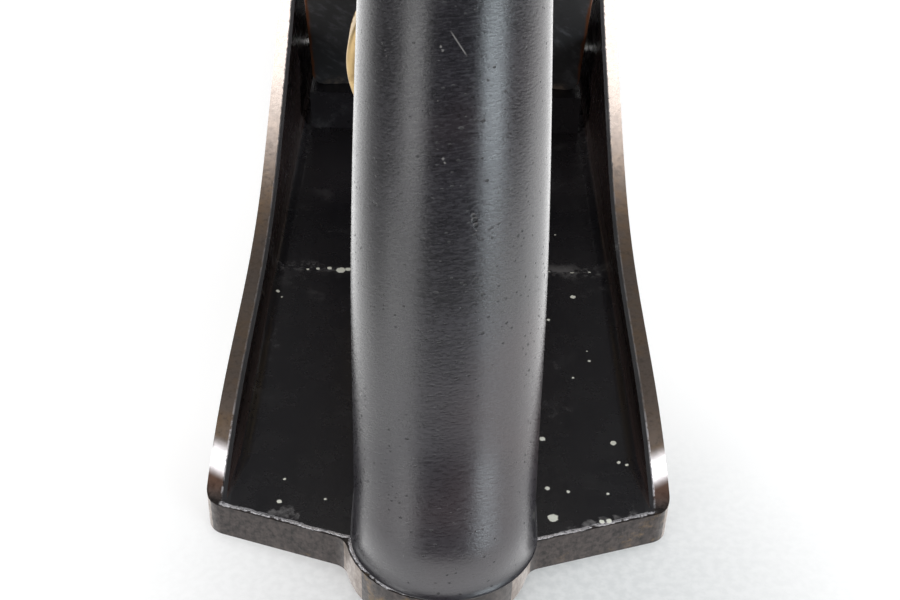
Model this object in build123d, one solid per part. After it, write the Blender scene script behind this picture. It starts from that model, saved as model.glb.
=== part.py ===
"""Bench plane of the iron smoothing kind, built from its separate pieces.

Millimetres, +Z up, +Y towards the toe, +X to the right of the user.
The origin is the middle of the sole: X = 0 is the mid-plane and Z = 0 the sole.
Bed coordinates lie on the sloping bed: x across, y up the bed from the cutting
edge, z square to the bed and away from it.
"""
from build123d import *
import math
import os

os.makedirs("parts", exist_ok=True)

# ---------------------------------------------------------------- fits
RUNNING = 0.05            # radial clearance of a shaft that turns in its hole
SLIDE_GAP = 0.1           # between flat faces of pieces that slide on each other
LOOSE = 0.3               # between pieces that pass without touching
BEYOND = 5.0              # how far a cutting tool runs past what it cuts

# ---------------------------------------------------------------- body casting
BODY_LENGTH = 246.0
BODY_WIDTH = 62.0
SOLE_THICKNESS = 5.2
WALL_THICKNESS = 2.8
TONGUE_LENGTH = 16.4      # rounded tongue behind the heel corners
TONGUE_WIDTH = 24.2
TONGUE_SHOULDER = 6.2     # how far the heel edge slopes back from corner to tongue
TONGUE_ROOT_RADIUS = 2.6
HEEL_CORNER_RADIUS = 3.0
TOE_BOW = 8.0             # how far the toe bows out beyond its corners
FLOOR_RADIUS = 2.5        # inside, where the floor turns up into a wall
FLOOR_STEP = 0.8          # the floor drops this much in front of the tote's half
FLOOR_STEP_FROM_CORNER = 55.6
CHEEK_HEIGHT = 50.0       # top of the side walls beside the mouth
WALL_END_HEIGHT = 8.4     # top of the side walls at the heel
WALL_END_RADIUS = 3.6     # front end of the toe rails
WALL_END_RUN = 11.0       # length in which a wall comes down to the floor at the heel
TOE_RAIL_HEIGHT = 9.0     # top of the side walls at the toe

# ---------------------------------------------------------------- mouth and bed
MOUTH_FROM_HEEL = 168.0   # tongue's end to cutting edge: what the tote and irons need
BED_ANGLE = 45.0
MOUTH_FRONT_GAP = 1.6     # cutting edge to the front of the mouth
MOUTH_BACK_GAP = 1.4      # bed plane to the back of the mouth
MOUTH_SIDE_GAP = 1.4      # each side of the iron
SEAT_WIDTH = 52.0         # raised seat that the frog stands on
SEAT_HEIGHT = 12.0
SEAT_LENGTH = 47.0        # from its back edge to the cutting edge
SEAT_STEP_FROM_EDGE = 20.0
SEAT_STEP_HEIGHT = 7.5
SEAT_NOTCH_WIDTH = 17.0   # open middle of the seat's back edge
SEAT_NOTCH_DEPTH = 9.5

# ---------------------------------------------------------------- frog
FROG_WIDTH = 51.4
FROG_BASE_BACK = 43.0     # back of the frog's foot, behind the cutting edge
FROG_WAIST_BACK = 53.5    # back of the frog's waist, behind the cutting edge
FROG_WAIST_HEIGHT = 34.0
FROG_PLATE = 9.0          # bed plate thickness, square to the bed
FROG_BED_LENGTH = 117.0   # cutting edge to the frog's top, up the bed
FROG_TOP_WIDTH = 25.0
FROG_SHOULDER_Y = 84.0    # where the frog starts to narrow, up the bed
FROG_FOOT_RADIUS = 8.0    # rounded lower corners seen from behind
FROG_TOE_FROM_EDGE = 12.5
FROG_TRAVEL = 1.5         # each way along the seat
FROG_SCREW_RADIUS = 2.9
FROG_SCREW_X = 13.5
FROG_SCREW_FROM_EDGE = 32.0
FROG_SCREW_HEAD_RADIUS = 5.0
FROG_SCREW_HEAD_HEIGHT = 3.6
FROG_SCREW_DEPTH = 9.5    # thread in the seat
FROG_FLOOR = 5.0          # metal under the screw heads
WASHER_RADIUS = 5.8
WASHER_THICKNESS = 1.2
SCREWDRIVER_SLOT = 1.2
SCREWDRIVER_DEPTH = 1.2

# ---------------------------------------------------------------- frog adjuster
ADJUSTER_HEIGHT = 9.2    # axis above the sole
ADJUSTER_RADIUS = 2.5
ADJUSTER_HEAD_RADIUS = 3.8
ADJUSTER_HEAD_LENGTH = 3.4
ADJUSTER_GROOVE = 2.4
ADJUSTER_COLLAR = 1.6
ADJUSTER_THREAD = 14.0
ADJUSTER_PLATE = 1.6      # thickness of the plate on the frog's back
ADJUSTER_PLATE_WIDTH = 12.0
ADJUSTER_PLATE_GAP = 2.8   # between its foot and the frog
ADJUSTER_PLATE_TOP = 25.0
PLATE_SCREW_RADIUS = 1.6
PLATE_SCREW_HEAD_RADIUS = 3.0
PLATE_SCREW_HEAD = 1.5
PLATE_SCREW_LENGTH = 6.0
PLATE_SCREW_HEIGHT = 20.5

# ---------------------------------------------------------------- depth adjuster
STUD_HEIGHT = 38.0
STUD_RADIUS = 3.6
STUD_BACK = 96.5          # stud's end, behind the cutting edge
STUD_IN_FROG = 9.5
STUD_BOSS_RADIUS = 7.5
STUD_BOSS_BACK = 60.5     # end of the boss, behind the cutting edge
WHEEL_RADIUS = 15.9
WHEEL_RIM = 8.0           # width of the knurled rim
WHEEL_BACK = 88.0         # wheel's back face, behind the cutting edge
WHEEL_DISH = 2.4
WHEEL_DISH_RADIUS = 12.6
WHEEL_HUB_RADIUS = 5.6
WHEEL_GROOVE = 5.8
WHEEL_FLANGE = 2.2
WHEEL_FLANGE_RADIUS = 8.6
WHEEL_KNURLS = 60
KNURL_DEPTH = 0.45
Y_LEVER_PIVOT_Y = 81.0    # pivot, up the bed
Y_LEVER_PIVOT_Z = -6.0    # pivot, under the bed
Y_LEVER_PIN_RADIUS = 1.9
Y_LEVER_PIN_LENGTH = 24.0
Y_LEVER_WIDTH = 7.0
Y_LEVER_HUB_RADIUS = 4.2
Y_LEVER_TIP_Y = 88.0
Y_LEVER_TIP = 3.0         # thickness of the tip that moves the irons
Y_LEVER_FORK = 3.0        # thickness of the fork in the wheel's groove
Y_LEVER_PRONG = 3.2       # width of each prong
Y_LEVER_FORK_DROP = 2.0   # how far the fork comes down as the lever rocks
Y_LEVER_SLOT_SIDE = 0.8   # room beside the lever in the frog

# ---------------------------------------------------------------- lateral lever
LATERAL_PIVOT_FROM_TOP = 5.5
LATERAL_DISC_Y = 100.5
LATERAL_THICKNESS = 2.0
LATERAL_DEPTH = 0.6       # its top face, under the bed
LATERAL_WIDTH = 8.0
LATERAL_EYE_RADIUS = 5.6
LATERAL_END_Y = 146.0
LATERAL_TAB = 8.0        # finger tab, square to the lever
LATERAL_TAB_WIDTH = 13.0
LATERAL_SWING = 8.0       # degrees each way
RIVET_RADIUS = 2.4
DISC_STUD_RADIUS = 2.6
DISC_PLAY = 0.25          # roller on its stud
DISC_RADIUS = 5.7
DISC_THICKNESS = 1.7

# ---------------------------------------------------------------- irons
IRON_WIDTH = 50.8
IRON_THICKNESS = 2.1
IRON_LENGTH = 166.0
IRON_BEVEL = 25.0
IRON_TOP_RADIUS = 12.0
IRON_SLOT_WIDTH = 11.7
IRON_SLOT_START = 46.0
IRON_SLOT_END = 128.0
IRON_HOLE_RADIUS = 9.6    # round end of the slot
CAP_IRON_THICKNESS = 2.1
CAP_IRON_LENGTH = 122.0
CAP_IRON_SETBACK = 1.2    # from the cutting edge
CAP_HUMP_LENGTH = 15.0
CAP_HUMP_RISE = 2.4
CAP_HUMP_HOLLOW = 1.3     # gap under the hump
CAP_TOP_RADIUS = 9.0
CAP_SCREW_Y = 70.0
CAP_SCREW_RADIUS = 3.7
CAP_SCREW_HEAD_RADIUS = 7.5
CAP_SCREW_HEAD = 3.0
YOKE_SLOT_WIDTH = 10.4
YOKE_SLOT_LENGTH = 4.6
CAP_HOLE_RADIUS = 5.2     # oval hole round the lever cap's screw
CAP_HOLE_LENGTH = 20.0

# ---------------------------------------------------------------- lever cap
LEVER_CAP_WIDTH = 49.6
LEVER_CAP_START = 7.5
LEVER_CAP_SHOULDER = 78.0
LEVER_CAP_END = 112.0
LEVER_CAP_TOP_WIDTH = 36.0
LEVER_CAP_THICKNESS = 4.0
LEVER_CAP_ARCH = 2.3      # clear height under its middle
LEVER_SCREW_Y = 52.0
LEVER_SCREW_RADIUS = 3.0
LEVER_SCREW_HEAD_RADIUS = 6.6
LEVER_SCREW_HEAD = 4.4
LEVER_SCREW_IN_FROG = 11.0
KEYHOLE_SIDE = 0.5        # narrow end, beside the screw
KEYHOLE_TRAVEL = 11.0     # narrow end to wide end
EAR_WIDTH = 3.4
EAR_RADIUS = 4.6
CAM_WIDTH = 19.0
CAM_PIN_Y = 117.0
CAM_PIN_Z = 9.6
CAM_PIN_RADIUS = 1.6
CAM_LOBE_RADIUS = 3.9
CAM_LEVER_END = 143.0
CAM_LEVER_THICKNESS = 3.4
CAM_TIP_WIDTH = 26.0
SPRING_WIDTH = 15.0
SPRING_THICKNESS = 0.7
SPRING_RIVET_Y = 92.0
SPRING_RIVET_RADIUS = 1.8
SPRING_END = 122.0

# ---------------------------------------------------------------- tote and knob
TOTE_WIDTH = 24.8
TOTE_BASE_LENGTH = 84.0
TOTE_HEIGHT = 105.0
TOTE_REAR_GAP = 0.5       # tongue's end to the tote
TOTE_ROUND_SHARE = 0.47   # most of a section's length that one rounded end takes
TOTE_FOOT_HEIGHT = 8.0
TOTE_FOOT_RADIUS = 3.0
TOTE_LEAN = 18.0          # the bolt's lean from upright
TOTE_BOLT_FROM_REAR = 13.0
TOTE_BOLT_RADIUS = 2.8
TOTE_BORE_RADIUS = 3.6
TOTE_BOSS_RADIUS = 6.0
TOTE_BOSS_HEIGHT = 5.5
TOTE_SEAT = 98.0          # nut's seat, up the bolt from the floor
TOTE_NUT_RADIUS = 6.9
TOTE_NUT_NECK_RADIUS = 4.6
TOTE_NUT_NECK = 9.0
TOTE_NUT_DOME = 3.4
BOLT_DEPTH = 3.4          # bolt thread below the floor
KNOB_RADIUS = 19.0
KNOB_BASE_RADIUS = 16.5
KNOB_NECK_RADIUS = 12.0
KNOB_HEIGHT = 55.0
KNOB_FOOT = 4.0
KNOB_NECK_HEIGHT = 17.0
KNOB_BALL_HEIGHT = 38.0
KNOB_BOSS_RADIUS = 12.0
KNOB_BOSS_HEIGHT = 2.4

# ---------------------------------------------------------------- places
TOE_Y = BODY_LENGTH / 2
HEEL_Y = -BODY_LENGTH / 2
CORNER_Y = HEEL_Y + TONGUE_LENGTH
EDGE_Y = HEEL_Y + MOUTH_FROM_HEEL
SLOPE = math.radians(BED_ANGLE)
LATERAL_PIVOT_Y = FROG_BED_LENGTH - LATERAL_PIVOT_FROM_TOP
UP_BED = Vector(0, -math.cos(SLOPE), math.sin(SLOPE))
OFF_BED = Vector(0, math.sin(SLOPE), math.cos(SLOPE))
EDGE = Vector(0, EDGE_Y, 0)
BED_ORIGIN = EDGE - OFF_BED * (IRON_THICKNESS + SLIDE_GAP)
BED = Plane(origin=BED_ORIGIN, x_dir=(-1, 0, 0), z_dir=OFF_BED)

CAP_IRON_Z = SLIDE_GAP + IRON_THICKNESS
CAP_IRON_TOP = CAP_IRON_Z + CAP_IRON_THICKNESS
LEVER_CAP_Z = CAP_IRON_TOP + LEVER_CAP_ARCH
LEVER_CAP_TOP = LEVER_CAP_Z + LEVER_CAP_THICKNESS
SEAT_BACK_Y = EDGE_Y - SEAT_LENGTH
FROG_SCREW_Y = EDGE_Y - FROG_SCREW_FROM_EDGE
KNOB_Y = (TOE_Y + EDGE_Y) / 2
TOTE_REAR_Y = HEEL_Y + TOTE_REAR_GAP
TOTE_FRONT_Y = TOTE_REAR_Y + TOTE_BASE_LENGTH
LEAN = math.radians(TOTE_LEAN)
TOTE_AXIS = Vector(0, math.sin(LEAN), math.cos(LEAN))
TOTE_BOLT_FOOT = Vector(0, TOTE_REAR_Y + TOTE_BOLT_FROM_REAR, SOLE_THICKNESS)
TOTE_BOLT_PLANE = Plane(origin=TOTE_BOLT_FOOT, x_dir=(1, 0, 0), z_dir=TOTE_AXIS)


def bed_point(y, z):
    """World (Y, Z) of a point given up the bed and off the bed."""
    point = BED_ORIGIN + UP_BED * y + OFF_BED * z
    return point.Y, point.Z


def bed_y_at(height, off_bed=0.0):
    """World Y of the bed plane, or of one parallel to it, at a height above the sole."""
    start = BED_ORIGIN + OFF_BED * off_bed
    return start.Y - (height - start.Z) / math.tan(SLOPE)


def side_plate(points, low_x, high_x):
    """Solid whose outline is a side view of (Y, Z) points, from low_x to high_x."""
    face = Plane.YZ * make_face(Polyline(*points, close=True))
    return Pos(low_x, 0, 0) * extrude(face, high_x - low_x)


def bed_side_plate(points, half_width):
    """Solid whose outline is a side view in bed (y, z) points, centred on x = 0."""
    return side_plate([bed_point(y, z) for y, z in points], -half_width, half_width)


def bed_solid(face, low_z, high_z):
    """Solid from a face drawn on the bed, between two heights off the bed."""
    return BED * (Pos(0, 0, low_z) * extrude(face, high_z - low_z))


def bed_cylinder(radius, y, low_z, high_z, x=0.0):
    """Round solid square to the bed, between two heights off the bed."""
    return bed_solid(Pos(x, y) * Circle(radius), low_z, high_z)


def bed_box(width, low_y, high_y, low_z, high_z):
    """Block lying on the bed, centred across it."""
    face = Pos(0, (low_y + high_y) / 2) * Rectangle(width, high_y - low_y)
    return bed_solid(face, low_z, high_z)


def upright(radius, x, y, low_z, high_z):
    """Upright round solid between two heights."""
    return Pos(x, y, low_z) * extrude(Circle(radius), high_z - low_z)


def along_y(radius, z, low_y, high_y):
    """Round solid lying along Y on the mid-plane at height z."""
    face = Plane(origin=(0, low_y, z), x_dir=(1, 0, 0), z_dir=(0, 1, 0)) * Circle(radius)
    return extrude(face, high_y - low_y)


def across(radius, y, z, half_width):
    """Round solid lying across the plane, centred on x = 0."""
    face = Plane.YZ.offset(-half_width) * Pos(y, z) * Circle(radius)
    return extrude(face, 2 * half_width)


# ================================================================ body casting
def body_outline():
    """Plan of the casting: rounded toe, sloping heel edge and rounded tongue."""
    half_width = BODY_WIDTH / 2
    half_tongue = TONGUE_WIDTH / 2
    slope = TONGUE_SHOULDER / (half_width - half_tongue)
    inner = half_tongue / 2
    inner_y = CORNER_Y - (half_width - inner) * slope
    toe_corner_y = TOE_Y - TOE_BOW
    right = [(inner, inner_y), (half_width, CORNER_Y), (half_width, toe_corner_y)]
    left = [(-x, y) for x, y in reversed(right)]
    sides = FilletPolyline(*left, *right, radius=[HEEL_CORNER_RADIUS, 0, 0, HEEL_CORNER_RADIUS])
    toe = ThreePointArc(right[-1], (0, TOE_Y), left[0])
    outline = make_face([sides, toe]) + Pos(0, HEEL_Y + half_tongue) * Circle(half_tongue)
    roots = [v for v in outline.vertices()
             if v.Y < CORNER_Y - TONGUE_SHOULDER / 2 and abs(v.X) > inner]
    return fillet(roots, TONGUE_ROOT_RADIUS)


def wall_side_view():
    """Side view of the casting: low walls that sweep up to the cheeks."""
    rear = CORNER_Y + 0.6
    front = TOE_Y - TOE_BOW - 1.0
    cheek_y = EDGE_Y - 4.0
    end_rise = WALL_END_HEIGHT - SOLE_THICKNESS
    wall_top = Spline(
        (rear, SOLE_THICKNESS),
        (rear + WALL_END_RUN * 0.4, SOLE_THICKNESS + end_rise * 0.5),
        (rear + WALL_END_RUN, SOLE_THICKNESS + end_rise * 0.93),
        (CORNER_Y + 45, WALL_END_HEIGHT + 1.2),
        (CORNER_Y + 66, WALL_END_HEIGHT + 4.4),
        (CORNER_Y + 87, WALL_END_HEIGHT + 13.2),
        (CORNER_Y + 106, WALL_END_HEIGHT + 22.4),
        (cheek_y, CHEEK_HEIGHT),
        (cheek_y + 22, CHEEK_HEIGHT - 9.5),
        (cheek_y + 40, TOE_RAIL_HEIGHT + 12.0),
        (cheek_y + 58, TOE_RAIL_HEIGHT + 2.4),
        (front - WALL_END_RADIUS, TOE_RAIL_HEIGHT),
        tangents=((1, 0.6), (1, -0.05)),
    )
    front_end = RadiusArc((front - WALL_END_RADIUS, TOE_RAIL_HEIGHT),
                          (front, TOE_RAIL_HEIGHT - WALL_END_RADIUS), WALL_END_RADIUS)
    base = Polyline((front, TOE_RAIL_HEIGHT - WALL_END_RADIUS), (front, SOLE_THICKNESS),
                    (TOE_Y + BEYOND, SOLE_THICKNESS), (TOE_Y + BEYOND, 0),
                    (HEEL_Y - BEYOND, 0), (HEEL_Y - BEYOND, SOLE_THICKNESS),
                    (rear, SOLE_THICKNESS))
    return make_face([wall_top, front_end, base])


def channel(floor, low_y, high_y):
    """Space between the side walls above a floor, with rounded bottom corners."""
    width = BODY_WIDTH - 2 * WALL_THICKNESS
    height = CHEEK_HEIGHT + BEYOND
    face = Pos(0, floor + height / 2) * Rectangle(width, height)
    face = fillet(face.vertices().sort_by(Axis.Y)[:2], FLOOR_RADIUS)
    plane = Plane(origin=(0, low_y, 0), x_dir=(-1, 0, 0), z_dir=(0, 1, 0))
    return extrude(plane * face, high_y - low_y)


def frog_seat():
    """Raised two-level seat for the frog, cut back at the mouth."""
    step_y = EDGE_Y - SEAT_STEP_FROM_EDGE
    below = SOLE_THICKNESS - FLOOR_STEP - 1.0
    seat = side_plate(
        [(SEAT_BACK_Y, below), (SEAT_BACK_Y, SEAT_HEIGHT), (step_y, SEAT_HEIGHT),
         (step_y, SEAT_STEP_HEIGHT), (EDGE_Y, SEAT_STEP_HEIGHT), (EDGE_Y, below)],
        -SEAT_WIDTH / 2, SEAT_WIDTH / 2)
    notch = Pos(0, SEAT_BACK_Y, SEAT_HEIGHT) * Box(
        SEAT_NOTCH_WIDTH, 2 * SEAT_NOTCH_DEPTH, 2 * (SEAT_HEIGHT - SOLE_THICKNESS + FLOOR_STEP))
    return seat - notch


def mouth_cut():
    """Opening through the sole: sloping back, upright front."""
    half = IRON_WIDTH / 2 + MOUTH_SIDE_GAP
    front = EDGE_Y + MOUTH_FRONT_GAP
    top = SEAT_STEP_HEIGHT + 1.0
    points = [(bed_y_at(-1, -MOUTH_BACK_GAP), -1), (front, -1), (front + 3, top),
              (bed_y_at(top, -MOUTH_BACK_GAP), top)]
    return side_plate(points, -half, half)


def plane_body():
    """Cast body: sole, walls, seat for the frog and bosses for knob and tote."""
    blank = extrude(body_outline(), CHEEK_HEIGHT)
    shape = extrude(Plane.YZ.offset(-BODY_WIDTH / 2) * wall_side_view(), BODY_WIDTH)
    body = blank & shape
    step_y = CORNER_Y + FLOOR_STEP_FROM_CORNER
    body -= channel(SOLE_THICKNESS, HEEL_Y - BEYOND, TOE_Y + BEYOND)
    body -= channel(SOLE_THICKNESS - FLOOR_STEP, step_y, EDGE_Y)
    body += frog_seat()
    body -= mouth_cut()
    boss_top = SOLE_THICKNESS + KNOB_BOSS_HEIGHT
    body += upright(KNOB_BOSS_RADIUS, 0, KNOB_Y, SOLE_THICKNESS - 1, boss_top)
    body -= upright(TOTE_BOLT_RADIUS, 0, KNOB_Y, SOLE_THICKNESS - BOLT_DEPTH, boss_top + 1)
    body += TOTE_BOLT_PLANE * (Pos(0, 0, -2) * extrude(Circle(TOTE_BOSS_RADIUS),
                                                      TOTE_BOSS_HEIGHT + 2))
    body -= TOTE_BOLT_PLANE * (Pos(0, 0, -BOLT_DEPTH) * extrude(Circle(TOTE_BOLT_RADIUS),
                                                               TOTE_BOSS_HEIGHT + BOLT_DEPTH + 1))
    for x in (-FROG_SCREW_X, FROG_SCREW_X):
        body -= upright(FROG_SCREW_RADIUS, x, FROG_SCREW_Y,
                        SEAT_HEIGHT - FROG_SCREW_DEPTH, SEAT_HEIGHT + 1)
    hole_start = SEAT_BACK_Y + SEAT_NOTCH_DEPTH
    body -= along_y(ADJUSTER_RADIUS + RUNNING, ADJUSTER_HEIGHT, hole_start - 1,
                    hole_start + ADJUSTER_THREAD + FROG_TRAVEL + 1)
    return body


# ================================================================ frog
def frog_side_view():
    """Side view of the frog: sloping bed, two-level foot and leaning back."""
    toe_y = EDGE_Y - FROG_TOE_FROM_EDGE
    step_y = EDGE_Y - SEAT_STEP_FROM_EDGE + FROG_TRAVEL + LOOSE
    toe_height = SEAT_STEP_HEIGHT + (bed_y_at(SEAT_STEP_HEIGHT) - toe_y) * math.tan(SLOPE)
    top = bed_point(FROG_BED_LENGTH, 0)
    under_top = bed_point(FROG_BED_LENGTH, -FROG_PLATE)
    waist_y = EDGE_Y - FROG_WAIST_BACK
    knee_z = FROG_WAIST_HEIGHT + 14.0
    return [(toe_y, SEAT_STEP_HEIGHT), (toe_y, toe_height), top, under_top,
            (bed_y_at(knee_z, -FROG_PLATE), knee_z), (waist_y, FROG_WAIST_HEIGHT),
            (EDGE_Y - FROG_BASE_BACK, SEAT_HEIGHT), (step_y, SEAT_HEIGHT),
            (step_y, SEAT_STEP_HEIGHT)]


def frog_face_view():
    """Outline of the frog square to its bed: straight sides, narrowing to the top."""
    half = FROG_WIDTH / 2
    top_half = FROG_TOP_WIDTH / 2
    top = FROG_BED_LENGTH
    lower = Polyline((top_half, top), (-top_half, top))
    left = Spline((-top_half, top), (-half + 3, (FROG_SHOULDER_Y + top) / 2 - 2),
                  (-half, FROG_SHOULDER_Y), tangents=((-1, -0.15), (0, -1)))
    right = Spline((half, FROG_SHOULDER_Y), (half - 3, (FROG_SHOULDER_Y + top) / 2 - 2),
                   (top_half, top), tangents=((0, 1), (-1, 0.15)))
    foot = Polyline((-half, FROG_SHOULDER_Y), (-half, -FROG_WIDTH), (half, -FROG_WIDTH),
                    (half, FROG_SHOULDER_Y))
    return make_face([lower, left, foot, right])


def frog_back_view():
    """Outline of the frog from behind, with its rounded lower corners."""
    height = 2 * CHEEK_HEIGHT
    face = Pos(0, SEAT_HEIGHT + height / 2) * Rectangle(FROG_WIDTH, height)
    face = fillet(face.vertices().sort_by(Axis.Y)[:2], FROG_FOOT_RADIUS)
    back_part = Plane(origin=(0, EDGE_Y - SEAT_STEP_FROM_EDGE - 6, 0), x_dir=(1, 0, 0),
                      z_dir=(0, -1, 0))
    front_part = Plane(origin=back_part.origin, x_dir=(-1, 0, 0), z_dir=(0, 1, 0))
    tall = Pos(0, height / 2) * Rectangle(FROG_WIDTH, height)
    return extrude(back_part * face, BODY_LENGTH) + extrude(front_part * tall, BODY_LENGTH)


def frog_wells():
    """Wells and slots for the two screws that hold the frog to its seat."""
    cuts = []
    for x in (-FROG_SCREW_X, FROG_SCREW_X):
        floor = SEAT_HEIGHT + FROG_FLOOR
        wide = SlotCenterToCenter(2 * FROG_TRAVEL, 2 * (WASHER_RADIUS + LOOSE), rotation=90)
        slot = SlotCenterToCenter(2 * FROG_TRAVEL, 2 * (FROG_SCREW_RADIUS + LOOSE), rotation=90)
        cuts.append(Pos(x, FROG_SCREW_Y, floor) * extrude(wide, CHEEK_HEIGHT))
        cuts.append(Pos(x, FROG_SCREW_Y, SEAT_HEIGHT - 1) * extrude(slot, CHEEK_HEIGHT))
    return cuts


def y_lever_slot():
    """Slot through the bed plate for the Y-shaped lever, open at the back."""
    width = Y_LEVER_WIDTH + 2 * Y_LEVER_SLOT_SIDE
    return bed_box(width, Y_LEVER_PIVOT_Y - 11, Y_LEVER_TIP_Y + 4, -FROG_PLATE - 30, BEYOND)


def frog():
    """Frog: the sloping bed that carries the irons and their adjusters."""
    solid = side_plate(frog_side_view(), -FROG_WIDTH / 2, FROG_WIDTH / 2)
    solid &= bed_solid(frog_face_view(), -2 * BODY_WIDTH, BEYOND)
    solid &= frog_back_view()
    boss_back = EDGE_Y - STUD_BOSS_BACK
    solid += along_y(STUD_BOSS_RADIUS, STUD_HEIGHT, boss_back, EDGE_Y - FROG_WAIST_BACK + 3)
    solid -= along_y(STUD_RADIUS, STUD_HEIGHT, boss_back - 1, boss_back + STUD_IN_FROG)
    for cut in frog_wells():
        solid -= cut
    head_room = CAP_SCREW_HEAD_RADIUS + 1.6
    solid -= bed_box(2 * head_room, CAP_SCREW_Y - head_room - 0.6, CAP_SCREW_Y + head_room,
                     -CAP_SCREW_HEAD - 1.2, BEYOND)
    solid -= y_lever_slot()
    solid -= across(Y_LEVER_PIN_RADIUS, *bed_point(Y_LEVER_PIVOT_Y, Y_LEVER_PIVOT_Z),
                    Y_LEVER_PIN_LENGTH / 2)
    swing = (LATERAL_PIVOT_Y - LATERAL_DISC_Y) * math.sin(math.radians(LATERAL_SWING))
    recess = 2 * (LATERAL_EYE_RADIUS + swing + 0.6)
    solid -= bed_box(recess, LATERAL_DISC_Y - LATERAL_EYE_RADIUS - 1.0,
                     FROG_BED_LENGTH + BEYOND, -LATERAL_DEPTH - LATERAL_THICKNESS - SLIDE_GAP,
                     BEYOND)
    solid -= bed_cylinder(RIVET_RADIUS, LATERAL_PIVOT_Y, -FROG_PLATE - 1, BEYOND)
    solid -= bed_cylinder(LEVER_SCREW_RADIUS, LEVER_SCREW_Y, -LEVER_SCREW_IN_FROG, BEYOND)
    solid -= plate_screw_hole()
    return solid


def frog_screws():
    """The two screws that clamp the frog down."""
    head_low = SEAT_HEIGHT + FROG_FLOOR + WASHER_THICKNESS
    head_high = head_low + FROG_SCREW_HEAD_HEIGHT
    group = []
    for x in (-FROG_SCREW_X, FROG_SCREW_X):
        screw = upright(FROG_SCREW_RADIUS, x, FROG_SCREW_Y, SEAT_HEIGHT - FROG_SCREW_DEPTH, head_low)
        screw += upright(FROG_SCREW_HEAD_RADIUS, x, FROG_SCREW_Y, head_low, head_high)
        slot = Box(SCREWDRIVER_SLOT, 4 * FROG_SCREW_HEAD_RADIUS, 2 * SCREWDRIVER_DEPTH)
        group.append(screw - Pos(x, FROG_SCREW_Y, head_high) * slot)
    return Compound(children=group)


def frog_washers():
    """The two washers under the frog screws."""
    low = SEAT_HEIGHT + FROG_FLOOR
    ring = Circle(WASHER_RADIUS) - Circle(FROG_SCREW_RADIUS)
    return Compound(children=[Pos(x, FROG_SCREW_Y, low) * extrude(ring, WASHER_THICKNESS)
                              for x in (-FROG_SCREW_X, FROG_SCREW_X)])


# ================================================================ frog adjuster
ADJUSTER_PLATE_BACK = EDGE_Y - FROG_BASE_BACK - ADJUSTER_PLATE - ADJUSTER_PLATE_GAP
ADJUSTER_HEAD_BACK = (ADJUSTER_PLATE_BACK + ADJUSTER_PLATE / 2 - ADJUSTER_GROOVE / 2
                      - ADJUSTER_HEAD_LENGTH)


LEAN_OF_BACK = math.atan2(FROG_WAIST_BACK - FROG_BASE_BACK, FROG_WAIST_HEIGHT - SEAT_HEIGHT)


def frog_back_y_at(height):
    """World Y of the frog's leaning back at a height above the sole."""
    share = (height - SEAT_HEIGHT) / (FROG_WAIST_HEIGHT - SEAT_HEIGHT)
    return EDGE_Y - FROG_BASE_BACK - share * (FROG_WAIST_BACK - FROG_BASE_BACK)


def frog_back_plane(height):
    """Plane on the frog's leaning back, facing away from it."""
    rise = FROG_WAIST_HEIGHT - SEAT_HEIGHT
    run = FROG_WAIST_BACK - FROG_BASE_BACK
    normal = Vector(0, -rise, -run).normalized()
    return Plane(origin=(0, frog_back_y_at(height), height), x_dir=(1, 0, 0), z_dir=normal)


def plate_screw_hole():
    """Hole in the frog's back for the small screw of the adjuster's plate."""
    hole = Pos(0, 0, -PLATE_SCREW_LENGTH) * extrude(Circle(PLATE_SCREW_RADIUS),
                                                   PLATE_SCREW_LENGTH + 1)
    return frog_back_plane(PLATE_SCREW_HEIGHT) * hole


def frog_adjusting_screw():
    """Screw that draws the frog along its seat, with a groove for the plate."""
    thread_end = SEAT_BACK_Y + SEAT_NOTCH_DEPTH + ADJUSTER_THREAD
    head_end = ADJUSTER_HEAD_BACK + ADJUSTER_HEAD_LENGTH
    groove_end = head_end + ADJUSTER_GROOVE
    screw = along_y(ADJUSTER_HEAD_RADIUS, ADJUSTER_HEIGHT, ADJUSTER_HEAD_BACK, head_end)
    screw += along_y(ADJUSTER_RADIUS, ADJUSTER_HEIGHT, head_end, thread_end)
    screw += along_y(ADJUSTER_HEAD_RADIUS, ADJUSTER_HEIGHT, groove_end,
                     groove_end + ADJUSTER_COLLAR)
    slot = Box(4 * ADJUSTER_HEAD_RADIUS, 2 * SCREWDRIVER_DEPTH, SCREWDRIVER_SLOT)
    return screw - Pos(0, ADJUSTER_HEAD_BACK, ADJUSTER_HEIGHT) * slot


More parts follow.
